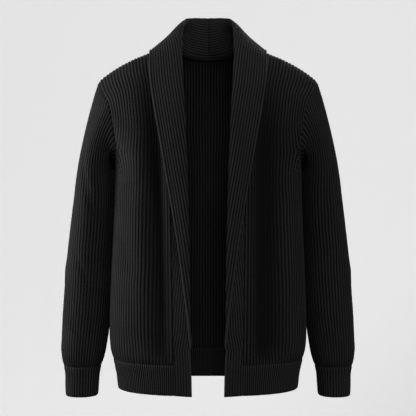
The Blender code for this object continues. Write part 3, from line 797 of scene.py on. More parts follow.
        edge = chest[: armhole_row + 1, 0]
        edge_turn = self.turn_at(edge[:, 0] / self.rings.at("half_width", edge[:, 2]))
        flank = self.flank_ribs * self.columns_per_rib
        part = np.arange(flank + 1) / flank
        armhole_height = self.underarm + (edge[-1, 2] - self.underarm) * part**self.underarm_sweep
        rise = (edge[:, 2] - hem) / (edge[-1, 2] - hem)
        heights = hem + rise[:, None] * (armhole_height - hem)[None, :]
        turns = edge_turn[:, None] * part[None, :]
        x = self.rings.at("half_width", heights) * self.across_at(turns)
        side = self.place(half, x, heights)
        side[:, -1] = edge
        side[:, 0, 1] = half.value * self.seam_gap / 2
        chest[-1, : shoulder + 1, 1] = half.value * self.seam_gap / 2
        return self.with_normals(half, chest, side, shoulder, armhole_row)

    def with_normals(
        self, half: Half, chest: Array, side: Array, shoulder: int, armhole_row: int
    ) -> TorsoPanel:
        """Joins a panel's two grids, with normals that agree over each seam.

        Args:
            half: Front or back.
            chest: The chest's points.
            side: The flank's points.
            shoulder: How many chest columns lie along the shoulder seam.
            armhole_row: The flank's last row.

        Returns:
            The panel. Above the flank its grid repeats the flank's last row, in cells that
            knitted leaves out.
        """
        chest_normals = face_away(grid_normals(chest), chest, self.middle)
        side_normals = face_away(grid_normals(side), side, self.middle)
        shared = unit(chest_normals[: armhole_row + 1, 0] + side_normals[:, -1])
        chest_normals[: armhole_row + 1, 0] = side_normals[:, -1] = shared
        side_normals[:, 0, 1] = 0
        x, span = chest[-1, : shoulder + 1, 0], 1 * MM
        ahead, behind = (self.shoulder.at("height", x + step) for step in (span, -span))
        slope = (ahead - behind) / (2 * span)
        across_seam = unit(np.stack([-slope, 0 * x, 1 + 0 * x], axis=-1))
        # The last rows turn to the way that the shoulder seam faces
        turning = self.turning_rows
        turned = ramp(np.arange(turning) / (turning - 1), 0, 1)[:, None, None]
        last_rows = chest_normals[-turning:, : shoulder + 1]
        chest_normals[-turning:, : shoulder + 1] = last_rows * (1 - turned) + across_seam * turned
        if half is Half.BACK:
            chest_normals[:, -1, 0] = 0
            end = shoulder + self.neck_turn_ribs * self.columns_per_rib
            turn = np.linspace(0, 1, end - shoulder + 1)[:, None]
            first, last = chest_normals[-1, shoulder], chest_normals[-1, end]
            chest_normals[-1, shoulder : end + 1] = first * (1 - turn) + last * turn
        above = len(chest) - len(side)
        side = np.concatenate([side, np.repeat(side[-1:], above, axis=0)])
        side_normals = np.concatenate([side_normals, np.repeat(side_normals[-1:], above, axis=0)])
        return TorsoPanel(
            points=np.concatenate([side[:, :-1], chest], axis=1),
            normals=unit(np.concatenate([side_normals[:, :-1], chest_normals], axis=1)),
            flank=side.shape[1] - 1,
            armhole_row=armhole_row,
            shoulder=shoulder,
        )

    def hem_band(
        self, half: Half, ribs: int, columns_per_rib: int, rows: int
    ) -> tuple[Array, Array]:
        """Half the hem band: points and normals, with rows down from the seam.

        Args:
            half: Front or back.
            ribs: How many ribs it has.
            columns_per_rib: Columns of points for each rib.
            rows: How many rows of cells.

        Returns:
            The band's points and normals.
        """
        heights = np.linspace(self.hem_seam - self.seam_gap / 2, self.hem_bottom, rows + 1)
        edge = self.inner_edge(half, self.hem_seam)
        inner_turn = float(self.turn_at(edge / self.rings.at("half_width", self.hem_seam)))
        turns = np.linspace(0, inner_turn, ribs * columns_per_rib + 1)
        lines = []
        for height in heights:
            level = np.full_like(turns, height)
            x = self.rings.at("half_width", level) * self.across_at(turns)
            if half is Half.FRONT:
                x = x + (self.band_seam_at_hem - x[-1]) * (turns / turns[-1]) ** 2
            lines.append(self.place(half, x, level))
        points = np.stack(lines)
        points[:, 0, 1] = half.value * self.seam_gap / 2
        normals = face_away(grid_normals(points), points, (0, 0, self.hem_bottom))
        normals[:, 0, 1] = 0
        if half is Half.BACK:
            normals[:, -1, 0] = 0
        return points, unit(normals)


# ---------------------------------------------------------------- finishes


def linear(hex_colour: str) -> tuple[float, float, float, float]:
    """Turns a colour linear by the sRGB curve, which is straight near black and a power above.

    Args:
        hex_colour: The colour as sRGB hex, such as #868886.

    Returns:
        Linear red, green and blue, with full alpha.
    """
    values = [int(hex_colour[k : k + 2], 16) / 255 for k in (1, 3, 5)]
    flat = [v / 12.92 if v <= 0.04045 else ((v + 0.055) / 1.055) ** 2.4 for v in values]
    return (flat[0], flat[1], flat[2], 1.0)


def add_node(
    tree: bpy.types.NodeTree,
    kind: str,
    settings: dict[str, object] | None = None,
    sockets: dict[int | str, object] | None = None,
) -> bpy.types.Node:
    """Adds a node to a material.

    Args:
        tree: The material's nodes.
        kind: The node's type, such as ShaderNodeMath.
        settings: Its own properties by name.
        sockets: What goes into its inputs, by number or name: another node's output, or a value.

    Returns:
        The node.
    """
    node = tree.nodes.new(kind)
    for name, value in (settings or {}).items():
        setattr(node, name, value)
    for key, value in (sockets or {}).items():
        if isinstance(value, bpy.types.NodeSocket):
            tree.links.new(value, node.inputs[key])
        else:
            node.inputs[key].default_value = value
    return node


def maths(tree: bpy.types.NodeTree, operation: str, *values: object) -> bpy.types.NodeSocket:
    """One arithmetic step on outputs or numbers, as an output."""
    node = add_node(tree, "ShaderNodeMath", {"operation": operation}, dict(enumerate(values)))
    return node.outputs[0]


def blend(
    tree: bpy.types.NodeTree, factor: bpy.types.NodeSocket, first: object, second: object
) -> bpy.types.NodeSocket:
    """One colour mixed into another.

    Args:
        tree: The material's nodes.
        factor: How much of the second colour there is.
        first: A colour or an output.
        second: A colour or an output.

    Returns:
        The mixed colour, as an output.
    """
    inputs = {"Factor": factor, "A": first, "B": second}
    return add_node(tree, "ShaderNodeMix", {"data_type": "RGBA"}, inputs).outputs["Result"]


@dataclass(frozen=True)
class RibKnit:
    """Combed cotton and wool yarn in a heavy rib, steamed: matt cloth with a faint bloom of fibre.

    Rows of V-shaped stitches run up each ridge. A stitch is drawn at its real height of about
    2.7 mm, which shows from a step away, and its fibres are drawn coarser than real ones.

    Attributes:
        name: The material's name.
        valley: Painted shade deep between ridges, near black for the shadow there, as sRGB hex.
        ridge: Its colour on the ridges.
        worn: The paler, slightly warmer tone in the mottle.
        fall: How fast painted shade deepens from a ridge, as a power of |sin(pi r)|.
        fold_shade: How far painted shade takes the tone towards the valley's in the deepest fold.
        roughness: The shader's roughness.
        sheen: How strong the fibres' bloom is.
        stitch: One stitch's height, in metres.
        relief: How deep the stitches are, in metres.
        relief_strength: The bump's strength.
        leg_slope: How many stitches a stitch's leg climbs over one rib.
        leg_height: The legs' share of the bump.
        crown: How far from a ridge's middle its groove reaches, in ribs.
        crown_softness: How softly the groove ends there.
        groove: The groove's share of the bump, for one rib.
        fibre: The size of the fibres' grain, in metres.
        fibre_height: The grain's share of the bump.
        fibre_detail: How many finer octaves the grain has.
        mottle: The size of the slow change of tone, in metres.
        mottle_gain: How strongly the mottle mixes in the worn tone.
        mottle_detail: How many finer octaves the mottle has.
        noise_roughness: How much finer grain both noises have.
        specular: The shader's specular level: yarn hardly shines.
        sheen_roughness: How wide the bloom spreads.
        sheen_tint: The bloom's colour, as sRGB hex.
    """

    name: str = "charcoal rib knit"
    valley: str = "#010101"
    ridge: str = "#0D0D0D"
    worn: str = "#181717"
    fall: float = 2.6
    fold_shade: float = 0.9
    roughness: float = 0.9
    sheen: float = 0.015
    stitch: float = 2.7 * MM
    relief: float = 0.45 * MM
    relief_strength: float = 0.8
    leg_slope: float = 1.3
    leg_height: float = 0.35
    crown: float = 0.12
    crown_softness: float = 0.05
    groove: float = 6.0
    fibre: float = 0.8 * MM
    fibre_height: float = 0.35
    fibre_detail: float = 2.0
    mottle: float = 45 * MM
    mottle_gain: float = 1.6
    mottle_detail: float = 3.0
    noise_roughness: float = 0.6
    specular: float = 0.04
    sheen_roughness: float = 0.5
    sheen_tint: str = "#868886"

    def material(self) -> bpy.types.Material:
        """Makes the material, with its pattern from the UV map "knit": ribs across and stitches up.

        Returns:
            The material.
        """
        made = bpy.data.materials.new(self.name)
        made.use_nodes = True
        tree = made.node_tree
        shader = tree.nodes["Principled BSDF"]
        knit = add_node(tree, "ShaderNodeUVMap", {"uv_map": "knit"})
        parts = add_node(tree, "ShaderNodeSeparateXYZ", None, {0: knit.outputs[0]})
        rib, row = parts.outputs[0], parts.outputs[1]
        place = add_node(tree, "ShaderNodeTexCoord").outputs["Object"]

        # A ridge is |sin(pi r)|. A stitch's two legs slope up from the groove in the ridge's middle
        ridge = maths(tree, "ABSOLUTE", maths(tree, "SINE", maths(tree, "MULTIPLY", rib, math.pi)))
        leg = maths(tree, "ABSOLUTE", maths(tree, "SUBTRACT", maths(tree, "FRACT", rib), 0.5))
        slope = maths(tree, "MULTIPLY_ADD", leg, self.leg_slope, row)
        wave = maths(tree, "SINE", maths(tree, "MULTIPLY", slope, 2 * math.pi))
        crown = maths(tree, "SMOOTH_MIN", leg, self.crown, self.crown_softness)
        groove = maths(tree, "MULTIPLY", crown, self.groove)
        stitches = maths(tree, "MULTIPLY_ADD", wave, self.leg_height, groove)
        grain = {"Roughness": self.noise_roughness, "Vector": place}
        fine, slow = (
            add_node(
                tree, "ShaderNodeTexNoise", None, {**grain, "Scale": 1 / size, "Detail": detail}
            ).outputs[0]
            for size, detail in (
                (self.fibre, self.fibre_detail),
                (self.mottle, self.mottle_detail),
            )
        )
        height = maths(tree, "MULTIPLY_ADD", fine, self.fibre_height, stitches)
        relief = {"Strength": self.relief_strength, "Distance": self.relief, "Height": height}
        bump = add_node(tree, "ShaderNodeBump", None, relief)

        # The ridges' tone drifts slowly over the cloth, and painted shade darkens it into the
        # valleys
        drift = maths(tree, "MULTIPLY", maths(tree, "MULTIPLY", slow, fine), self.mottle_gain)
        lit = blend(tree, drift, linear(self.ridge), linear(self.worn))
        tone = blend(tree, maths(tree, "POWER", ridge, self.fall), linear(self.valley), lit)
        # Painted shade in a fold's valley: the tone goes towards the valley's with the fold's depth
        fold = add_node(tree, "ShaderNodeAttribute", {"attribute_name": "fold"})
        depth = maths(tree, "MULTIPLY", fold.outputs["Fac"], self.fold_shade)
        shade = blend(tree, depth, tone, linear(self.valley))
        tree.links.new(shade, shader.inputs["Base Color"])
        tree.links.new(bump.outputs[0], shader.inputs["Normal"])
        shader.inputs["Roughness"].default_value = self.roughness
        shader.inputs["Specular IOR Level"].default_value = self.specular
        shader.inputs["Sheen Weight"].default_value = self.sheen
        shader.inputs["Sheen Roughness"].default_value = self.sheen_roughness
        shader.inputs["Sheen Tint"].default_value = linear(self.sheen_tint)
        return made


@dataclass(frozen=True)
class WovenTape:
    """Plain-woven cotton tape over the back neck seam: flat and black, with a fine even grain.

    Its threads are about 0.4 mm apart, drawn at 0.9 mm so that they show.

    Attributes:
        name: The material's name.
        colour: The cotton's colour, as sRGB hex.
        roughness: The shader's roughness.
        specular: The shader's specular level.
        thread: From one thread to the next, in metres.
        relief: How deep the weave is, in metres.
        relief_strength: The bump's strength.
    """

    name: str = "black woven tape"
    colour: str = "#131313"
    roughness: float = 0.8
    specular: float = 0.05
    thread: float = 0.9 * MM
    relief: float = 0.2 * MM
    relief_strength: float = 0.5

    def material(self) -> bpy.types.Material:
        """Makes the material: threads as waves along and across, from the UV map "knit".

        Returns:
            The material, whose map counts millimetres.
        """
        made = bpy.data.materials.new(self.name)
        made.use_nodes = True
        tree = made.node_tree
        shader = tree.nodes["Principled BSDF"]
        knit = add_node(tree, "ShaderNodeUVMap", {"uv_map": "knit"})
        parts = add_node(tree, "ShaderNodeSeparateXYZ", None, {0: knit.outputs[0]})
        pace = 2 * math.pi * MM / self.thread
        warp = maths(tree, "SINE", maths(tree, "MULTIPLY", parts.outputs[0], pace))
        weft = maths(tree, "SINE", maths(tree, "MULTIPLY", parts.outputs[1], pace))
        height = maths(tree, "MULTIPLY", warp, weft)
        relief = {"Strength": self.relief_strength, "Distance": self.relief, "Height": height}
        bump = add_node(tree, "ShaderNodeBump", None, relief)
        tree.links.new(bump.outputs[0], shader.inputs["Normal"])
        shader.inputs["Base Color"].default_value = linear(self.colour)
        shader.inputs["Roughness"].default_value = self.roughness
        shader.inputs["Specular IOR Level"].default_value = self.specular
        return made


# ---------------------------------------------------------------- the knitted pieces


class Hold(Enum):
    HUNG = "hung"
    GATHERED = "gathered"
    FOLDED = "folded"
    LAID = "laid"


@dataclass(frozen=True)
class Cut:
    """What a piece is cut or knitted to, flat.

    Attributes:
        width: Across the ribs, in metres.
        length: Along the ribs, in metres.
        area: Its flat area in square metres.
        hold: How it is held on the finished garment.
        sewn_to: The nodes that carry it.
    """

    width: float
    length: float
    area: float
    hold: Hold
    sewn_to: tuple[str, ...]

    def on(self, side: str) -> "Cut":
        """The same cut for the left or the right piece, from the left one."""
        return replace(self, sewn_to=tuple(node.replace("left", side) for node in self.sewn_to))


def dress(
    piece: bpy.types.Object, node: str, material: bpy.types.Material, cut: Cut
) -> None:
    """Gives a piece its material, puts it on the body and hides the solid that it stands for.

    Args:
        piece: The new piece.
        node: The solid that it stands for.
        material: Its finish.
        cut: Its flat cut. It is not used.
    """
    piece.data.materials.clear()
    piece.data.materials.append(material)
    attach(piece, BODY)
    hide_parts(node)
    log.info("%s: %d triangles", piece.name, len(piece.data.polygons))


@dataclass
class Fronts:
    """The two fronts, from the hem seam to the shoulder, with ribs that follow the armhole.

    Where the armhole begins to sweep out to the side, the maker's fashioning turns the ribs
    outwards for a few rows, and they meet those of the side in the shape of a "<". There they are
    shifted by ribs * tent ** sharpness * exp(-away / spread), where the tent is 1 at the mark and
    0 at its reach above and below, and away counts ribs from the armhole's own column.

    Each front has a deep trough beside the front band, whose valley gets painted shade.
    """

    torso: Torso
    finish: bpy.types.Material
    form: RibForm = RibForm(pitch=6 * MM, height=1.8 * MM)
    cut: Cut = Cut(
        0.285, 0.700, 0.130, Hold.HUNG, ("back", "collar_left", "sleeve_left", "hem_left")
    )
    stitch: float = RibKnit.stitch
    fashioning_height: float = -0.212
    fashioning_above: float = 0.070
    fashioning_below: float = 0.060
    fashioning_ribs: float = 4.0
    fashioning_spread: float = 4.5
    fashioning_sharpness: float = 1.2
    # The painted shade in folds: full at this depth, and grown in full this far from a sewn edge
    deep_fold: float = 15 * MM
    fold_clear: float = 12 * MM
    left_creases: tuple[Crease, ...] = (
        Crease((0.115, -0.05), (0.111, -0.72), 0.029, -18.0 * MM),
        Crease((0.156, -0.24), (0.160, -0.60), 0.018, 3.5 * MM),
        Crease((0.168, -0.19), (0.128, -0.34), 0.014, -2.2 * MM),
        Crease((0.074, -0.42), (0.080, -0.63), 0.015, 2.0 * MM),
        Crease((0.178, -0.47), (0.135, -0.58), 0.015, -2.0 * MM),
        Crease((0.200, -0.10), (0.150, -0.19), 0.012, -1.4 * MM),
    )
    right_creases: tuple[Crease, ...] = (
        Crease((0.113, -0.04), (0.070, -0.72), 0.025, -17.0 * MM),
        Crease((0.136, -0.20), (0.128, -0.56), 0.021, 4.0 * MM),
        Crease((0.172, -0.21), (0.132, -0.31), 0.013, -2.0 * MM),
        Crease((0.076, -0.36), (0.078, -0.62), 0.016, 2.2 * MM),
        Crease((0.176, -0.38), (0.140, -0.46), 0.014, -1.8 * MM),
        Crease((0.170, -0.56), (0.128, -0.61), 0.013, -1.5 * MM),
        Crease((0.196, -0.12), (0.140, -0.18), 0.012, -1.4 * MM),
    )

    def grid(self, creases: tuple[Crease, ...]) -> KnitGrid:
        """A front of the left side.

        Args:
            creases: Its creases, in the panel's x and height.

        Returns:
            Its grid, with the ribs turned at the fashioning's mark.
        """
        panel = self.torso.panels[Half.FRONT]
        edge = panel.from_seams(inner_sewn=True)
        x, height = panel.points[..., 0], panel.points[..., 2]
        depth = creased(x, height, creases)
        # How deep each point lies in a fold, which the material darkens as painted shade
        fold = np.clip(-depth / self.deep_fold, 0, 1) * ramp(edge, 0, self.fold_clear)
        ribs = panel.rib_numbers(self.torso.columns_per_rib, ramp(edge, 0, SWAY_CLEAR))
        away = np.abs(np.arange(x.shape[1]) - panel.flank)[None, :] / self.torso.columns_per_rib
        from_mark = height - self.fashioning_height
        reach = np.where(from_mark > 0, self.fashioning_above, self.fashioning_below)
        tent = np.clip(1 - np.abs(from_mark) / reach, 0, 1) ** self.fashioning_sharpness
        ribs = ribs + self.fashioning_ribs * tent * np.exp(-away / self.fashioning_spread)
        return panel.knitted(self.form, ribs, edge, depth * ramp(edge, 0, CREASE_CLEAR), fold)

    def build(self) -> None:
        """Makes both fronts."""
        left, right = self.grid(self.left_creases), self.grid(self.right_creases).mirrored()
        for side, grid in (("left", left), ("right", right)):
            piece = shell_mesh("knit_front_" + side, grid, self.stitch)
            dress(piece, "front_" + side, self.finish, self.cut.on(side))


@dataclass
class Back:
    """The back, in one piece from the hem seam to the neck and shoulder seams."""

    torso: Torso
    finish: bpy.types.Material
    form: RibForm = RibForm(pitch=6 * MM)
    cut: Cut = Cut(
        0.56, 0.70, 0.36, Hold.HUNG, ("front_left", "front_right", "collar_left", "hem_back")
    )
    stitch: float = RibKnit.stitch
    middle_clear: float = 0.03
    creases: tuple[Crease, ...] = (
        Crease((0.120, -0.16), (0.070, -0.40), 0.022, -3.0 * MM),
        Crease((0.150, -0.36), (0.130, -0.61), 0.022, 3.0 * MM),
        Crease((0.060, -0.30), (0.052, -0.62), 0.024, -3.5 * MM),
        Crease((0.100, -0.46), (0.098, -0.63), 0.018, -2.0 * MM),
        Crease((0.185, -0.13), (0.140, -0.22), 0.014, -2.0 * MM),
    )

    def grid(self) -> KnitGrid:
        """The whole back, from its left half, with no crease or sway on the middle line.

        Returns:
            Its grid.
        """
        panel = self.torso.panels[Half.BACK]
        edge = panel.from_seams(inner_sewn=False)
        x, height = panel.points[..., 0], panel.points[..., 2]
        middle = ramp(x, 0, self.middle_clear)
        push = creased(x, height, self.creases) * ramp(edge, 0, CREASE_CLEAR) * middle
        sways = ramp(edge, 0, SWAY_CLEAR) * middle
        ribs = panel.rib_numbers(self.torso.columns_per_rib, sways)
        return panel.knitted(self.form, ribs, edge, push).joined_to_mirror()

    def build(self) -> None:
        """Makes the back."""
        piece = shell_mesh("knit_back", self.grid(), self.stitch)
        dress(piece, "back", self.finish, self.cut)


@dataclass
class HemBand:
    """The hem band in a finer rib, in three lengths between the side seams and the front bands."""

    torso: Torso
    finish: bpy.types.Material
    form: RibForm = RibForm(pitch=4.7 * MM, height=1.6 * MM)
    front_ribs: int = 42
    back_ribs: int = 56
    columns_per_rib: int = 5
    rows: int = 12
    stitch: float = RibKnit.stitch
    front_cut: Cut = Cut(0.215, 0.060, 0.0125, Hold.HUNG, ("front_left",))
    back_cut: Cut = Cut(0.56, 0.060, 0.033, Hold.HUNG, ("back",))

    def grid(self, half: Half) -> KnitGrid:
        """The band's left half on the front or on the back.

        Args:
            half: Front or back.

        Returns:
            Its grid, with rows down from the seam.
        """
        ribs = self.front_ribs if half is Half.FRONT else self.back_ribs
        points, normals = self.torso.hem_band(half, ribs, self.columns_per_rib, self.rows)
        number = np.arange(points.shape[1]) / self.columns_per_rib + 0 * points[..., 2]
        first, last, low, high = from_edges(points)
        edge = np.minimum.reduce([first, low, *([last] if half is Half.FRONT else [])])
        face, back = self.form.walls(number, seam_fade(edge) * end_fade(high))
        return KnitGrid(
            points=points,
            normals=normals,
            ribs=number,
            wales=points[..., 2],
            face=face,
            back=back,
        )

    def build(self) -> None:
        """Makes the band's three lengths."""
        left = self.grid(Half.FRONT)
        for side, grid in (("left", left), ("right", left.mirrored())):
            piece = shell_mesh("knit_hem_" + side, grid, self.stitch)
            dress(piece, "hem_" + side, self.finish, self.front_cut.on(side))
        whole = self.grid(Half.BACK).joined_to_mirror()
        piece = shell_mesh("knit_hem_back", whole, self.stitch)
        dress(piece, "hem_back", self.finish, self.back_cut)


@dataclass
class Sleeves:
    """The set-in sleeves and their cuffs.

    From the armhole to the first level ring each column is a cubic between the two. It leaves along
    a mix of the armhole's own way and straight out, with one pull at the top of the head, one half
    way down and one at the underarm, and arrives heading down. Below that the sleeve is level
    rounded rings. On the head the ribs lean towards the armhole, less and less over lean_reach.
    """

    torso: Torso
    finish: bpy.types.Material
    cuff_finish: bpy.types.Material
    form: RibForm = RibForm(pitch=6.1 * MM)
    cuff_form: RibForm = RibForm(pitch=5.2 * MM, height=1.5 * MM)
    cut: Cut = Cut(0.40, 0.64, 0.20, Hold.HUNG, ("front_left", "back"))
    cuff_cut: Cut = Cut(0.215, 0.062, 0.0133, Hold.HUNG, ("sleeve_left",))
    stitch: float = RibKnit.stitch
    ribs: int = 54
    cuff_ribs: int = 40
    columns_per_rib: int = 5
    cap_rows: int = 36
    arm_rows: int = 52
    cuff_rows: int = 12
    gap: float = 0.7 * MM
    seam_gap: float = 0.5 * MM
    roundness: float = 2.15
    rings: Table = Table(
        "height outer inner middle_y half_depth",
        (
            (-0.700, 0.2880, 0.2260, 0.010, 0.0330),
            (-0.680, 0.2886, 0.2245, 0.010, 0.0335),
            (-0.655, 0.2891, 0.2225, 0.010, 0.0350),
            (-0.640, 0.2921, 0.2190, 0.011, 0.0380),
            (-0.622, 0.2959, 0.2135, 0.013, 0.0430),
            (-0.595, 0.2969, 0.2085, 0.017, 0.0470),
            (-0.550, 0.2961, 0.2028, 0.023, 0.0510),
            (-0.485, 0.2924, 0.1976, 0.028, 0.0545),
            (-0.415, 0.2868, 0.1950, 0.030, 0.0585),
            (-0.345, 0.2784, 0.1922, 0.028, 0.0625),
            (-0.290, 0.2710, 0.1916, 0.024, 0.0650),
        ),
    )
    first_ring: float = -0.290
    cuff_seam: float = -0.640
    cuff_bottom: float = -0.700
    lean_ribs: float = 7.0
    lean_reach: float = 0.065
    lean_rise: float = 0.28
    cap_way: tuple[float, float, float] = (0.32, 0.0, -0.95)
    cap_pull: float = 0.211
    side_way: tuple[float, float] = (0.2, 0.9)
    side_pull: float = 0.16
    under_way: tuple[float, float] = (1.1, 0.75)
    under_pull: float = 0.060
    arrive_lean: tuple[float, float] = (-0.14, 0.24)
    arrive_pull: tuple[float, float] = (0.06, 0.22)
    turn_clear: float = 12 * MM
    crease_cuff_clear: float = 0.02
    inside_body: tuple[float, float, float] = (0.10, 0.05, -0.30)
    ring_steps: int = 2400
    creases: tuple[Crease, ...] = (
        Crease((0.10, -0.18), (0.26, -0.30), 0.011, -2.2 * MM),
        Crease((0.16, -0.24), (0.30, -0.36), 0.013, -2.4 * MM),
        Crease((0.14, -0.40), (0.27, -0.47), 0.012, -2.0 * MM),
        Crease((0.02, -0.43), (0.12, -0.50), 0.014, 1.8 * MM),
        Crease((0.16, -0.55), (0.30, -0.60), 0.011, -2.2 * MM),
        Crease((0.03, -0.60), (0.17, -0.625), 0.010, 1.6 * MM),
        Crease((0.75, -0.36), (0.92, -0.46), 0.013, -2.2 * MM),
        Crease((0.70, -0.26), (0.86, -0.33), 0.013, -2.0 * MM),
        Crease((0.66, -0.53), (0.84, -0.60), 0.012, -2.0 * MM),
        Crease((0.84, -0.58), (0.97, -0.62), 0.010, 1.6 * MM),
        Crease((0.38, -0.266), (0.64, -0.266), 0.018, 4.0 * MM),
    )

    def ring(self, height: float, shares: Array) -> Array:
        """A level ring, (x / half width) ** n + (y / half depth) ** n = 1 about its middle.

        Args:
            height: Its height.
            shares: Shares of its length, from its outer side, over its front, once round.

        Returns:
            The points.
        """
        outer, inner, middle_y, depth = (
            float(self.rings.at(name, height)) for name in self.rings.names.split()[1:]
        )
        angle = np.linspace(0, 2 * np.pi, self.ring_steps)
        across, ahead = (
            np.sign(wave) * np.abs(wave) ** (2 / self.roundness)
            for wave in (np.cos(angle), np.sin(angle))
        )
        x = (outer + inner) / 2 + across * (outer - inner) / 2
        y = middle_y - ahead * depth
        return spread(np.stack([x, y, np.full_like(x, height)], axis=-1), shares)

    def armhole(self, shares: Array) -> tuple[Array, Array, Array]:
        """The armhole once round, from the shoulder over the front.

        Args:
            shares: The shares of the way round. Each half has half of them, evenly spread.

        Returns:
            The points, the body's normals, and the unit ways out of the body in its surface.
        """
        half = np.linspace(0, 1, len(shares) // 2 + 1)
        starts, facing, ways = [], [], []
        for part in (Half.FRONT, Half.BACK):
            points, normals = self.torso.panels[part].armhole()
            way = unit(np.cross(np.gradient(points, axis=0), normals))
            inside = np.array(self.inside_body) * (1, part.value, 1)
            if np.median(np.sum(way * (points - inside), axis=-1)) < 0:
                way = -way
            order = slice(None) if part is Half.FRONT else slice(-2, None, -1)
            along = distance_along(points) / distance_along(points)[-1]
            for found, data in ((starts, points), (facing, normals), (ways, way)):
                picked = [np.interp(half, along, data[:, axis]) for axis in range(3)]
                found.append(np.stack(picked, axis=-1)[order])
        start, normal, way = (np.concatenate(parts) for parts in (starts, facing, ways))
        way[0] = way[-1] = way[0] + way[-1]
        normal[0] = normal[-1] = normal[0] + normal[-1]
        return start, unit(normal), unit(way)

    def sleeve(self) -> KnitGrid:
        """The left sleeve.

        Returns:
            Its grid, with rows from the armhole to the cuff seam.
        """
        count = self.ribs * self.columns_per_rib
        shares = np.arange(count + 1) / count
        start, first_normal, way = self.armhole(shares)
        start = start + way * self.gap
        end = self.ring(self.first_ring, shares)
        high = ((1 + np.cos(2 * np.pi * shares)) / 2)[:, None]
        out = np.array([1.0, 0.0, 0.0])
        side, under = (
            share * way + straight * out for share, straight in (self.side_way, self.under_way)
        )
        leave = (
            high**2 * np.array(self.cap_way) * self.cap_pull
            + (1 - high**2) * high * side * self.side_pull
            + (1 - high) ** 2 * under * self.under_pull
        )
        low_lean, lean_change = self.arrive_lean
        low_pull, high_pull = self.arrive_pull
        leaning = lean_change * high[:, 0] + low_lean
        down = np.stack([leaning, 0 * shares, -1 + 0 * shares], axis=-1)
        arrive = down * (high_pull * high + low_pull * (1 - high))
        t = np.linspace(0, 1, self.cap_rows + 1)[:, None, None]
        cap = (
            start * (1 + 2 * t) * (1 - t) ** 2
            + leave * t * (1 - t) ** 2
            + end * t * t * (3 - 2 * t)
            + arrive * t * t * (t - 1)
        )
        heights = np.linspace(self.first_ring, self.cuff_seam, self.arm_rows + 1)[1:]
        points = np.concatenate([cap, np.stack([self.ring(height, shares) for height in heights])])
        points[-1, :, 2] += self.seam_gap / 2
        normals = self.outward(points)
        _, _, from_armhole, from_cuff = from_edges(points)
        turned = ramp(from_armhole, 0, self.turn_clear)[..., None]
        normals = unit(first_normal * (1 - turned) + normals * turned)
        push = creased(shares + 0 * points[..., 2], points[..., 2], self.creases)
        clear = ramp(from_armhole, 0, CREASE_CLEAR) * ramp(from_cuff, 0, self.crease_cuff_clear)
        points = points + normals * (push * clear)[..., None]

        ribs = np.arange(count + 1) / self.columns_per_rib + 0 * points[..., 2]
        # How far down the armhole a column starts: from 0 at the shoulder to 1 at the underarm
        below = 2 * np.minimum(shares, 1 - shares)
        lean = self.lean_ribs * np.sign(0.5 - shares) * ramp(below, 0, self.lean_rise) * (1 - below)
        ribs = ribs + lean * np.exp(-from_armhole / self.lean_reach)
        # The first wave of the sway comes round once, so that it meets itself
        once_round = 2 * np.pi * shares / SWAY_WAVES[0][2]
        ribs = ribs + wander(once_round, points[..., 2]) * ramp(from_armhole, 0, SWAY_CLEAR)
        face, back = self.form.walls(ribs, seam_fade(np.minimum(from_armhole, from_cuff)))
        return KnitGrid(
            points=points,
            normals=normals,
            ribs=ribs,
            wales=-from_armhole,
            face=face,
            back=back,
            closed=True,
        )

    def outward(self, points: Array) -> Array:
        """Normals round a tube, away from its middle line.

        Args:
            points: The tube's grid, whose last column repeats the first.

        Returns:
            A unit vector for each point.
        """
        normals = grid_normals(points[:, :-1], closed=True)
        middle = points[:, :-1].mean(axis=1, keepdims=True)
        if np.median(np.sum(normals * (points[:, :-1] - middle), axis=-1)) < 0:
            normals = -normals
        return np.concatenate([normals, normals[:, :1]], axis=1)

    def cuff(self) -> KnitGrid:
        """The left cuff.

        Returns:
            Its grid, with rows down from its seam.
        """
        count = self.cuff_ribs * self.columns_per_rib
        shares = np.arange(count + 1) / count
        top = self.cuff_seam - self.seam_gap / 2
        heights = np.linspace(top, self.cuff_bottom, self.cuff_rows + 1)
        points = np.stack([self.ring(height, shares) for height in heights])
        ribs = np.arange(count + 1) / self.columns_per_rib + 0 * points[..., 2]
        _, _, from_seam, from_end = from_edges(points)
        face, back = self.cuff_form.walls(ribs, seam_fade(from_seam) * end_fade(from_end))
        return KnitGrid(
            points=points,
            normals=self.outward(points),
            ribs=ribs,
            wales=points[..., 2],
            face=face,
            back=back,
            closed=True,
        )

    def build(self) -> None:
        """Makes both sleeves and both cuffs."""
        sleeve, cuff = self.sleeve(), self.cuff()
        pairs = (("left", sleeve, cuff), ("right", sleeve.mirrored(), cuff.mirrored()))
        for side, arm, end in pairs:
            piece = shell_mesh("knit_sleeve_" + side, arm, self.stitch)
            dress(piece, "sleeve_" + side, self.finish, self.cut.on(side))
            piece = shell_mesh("knit_cuff_" + side, end, self.stitch)
            dress(piece, "cuff_" + side, self.cuff_finish, self.cuff_cut.on(side))


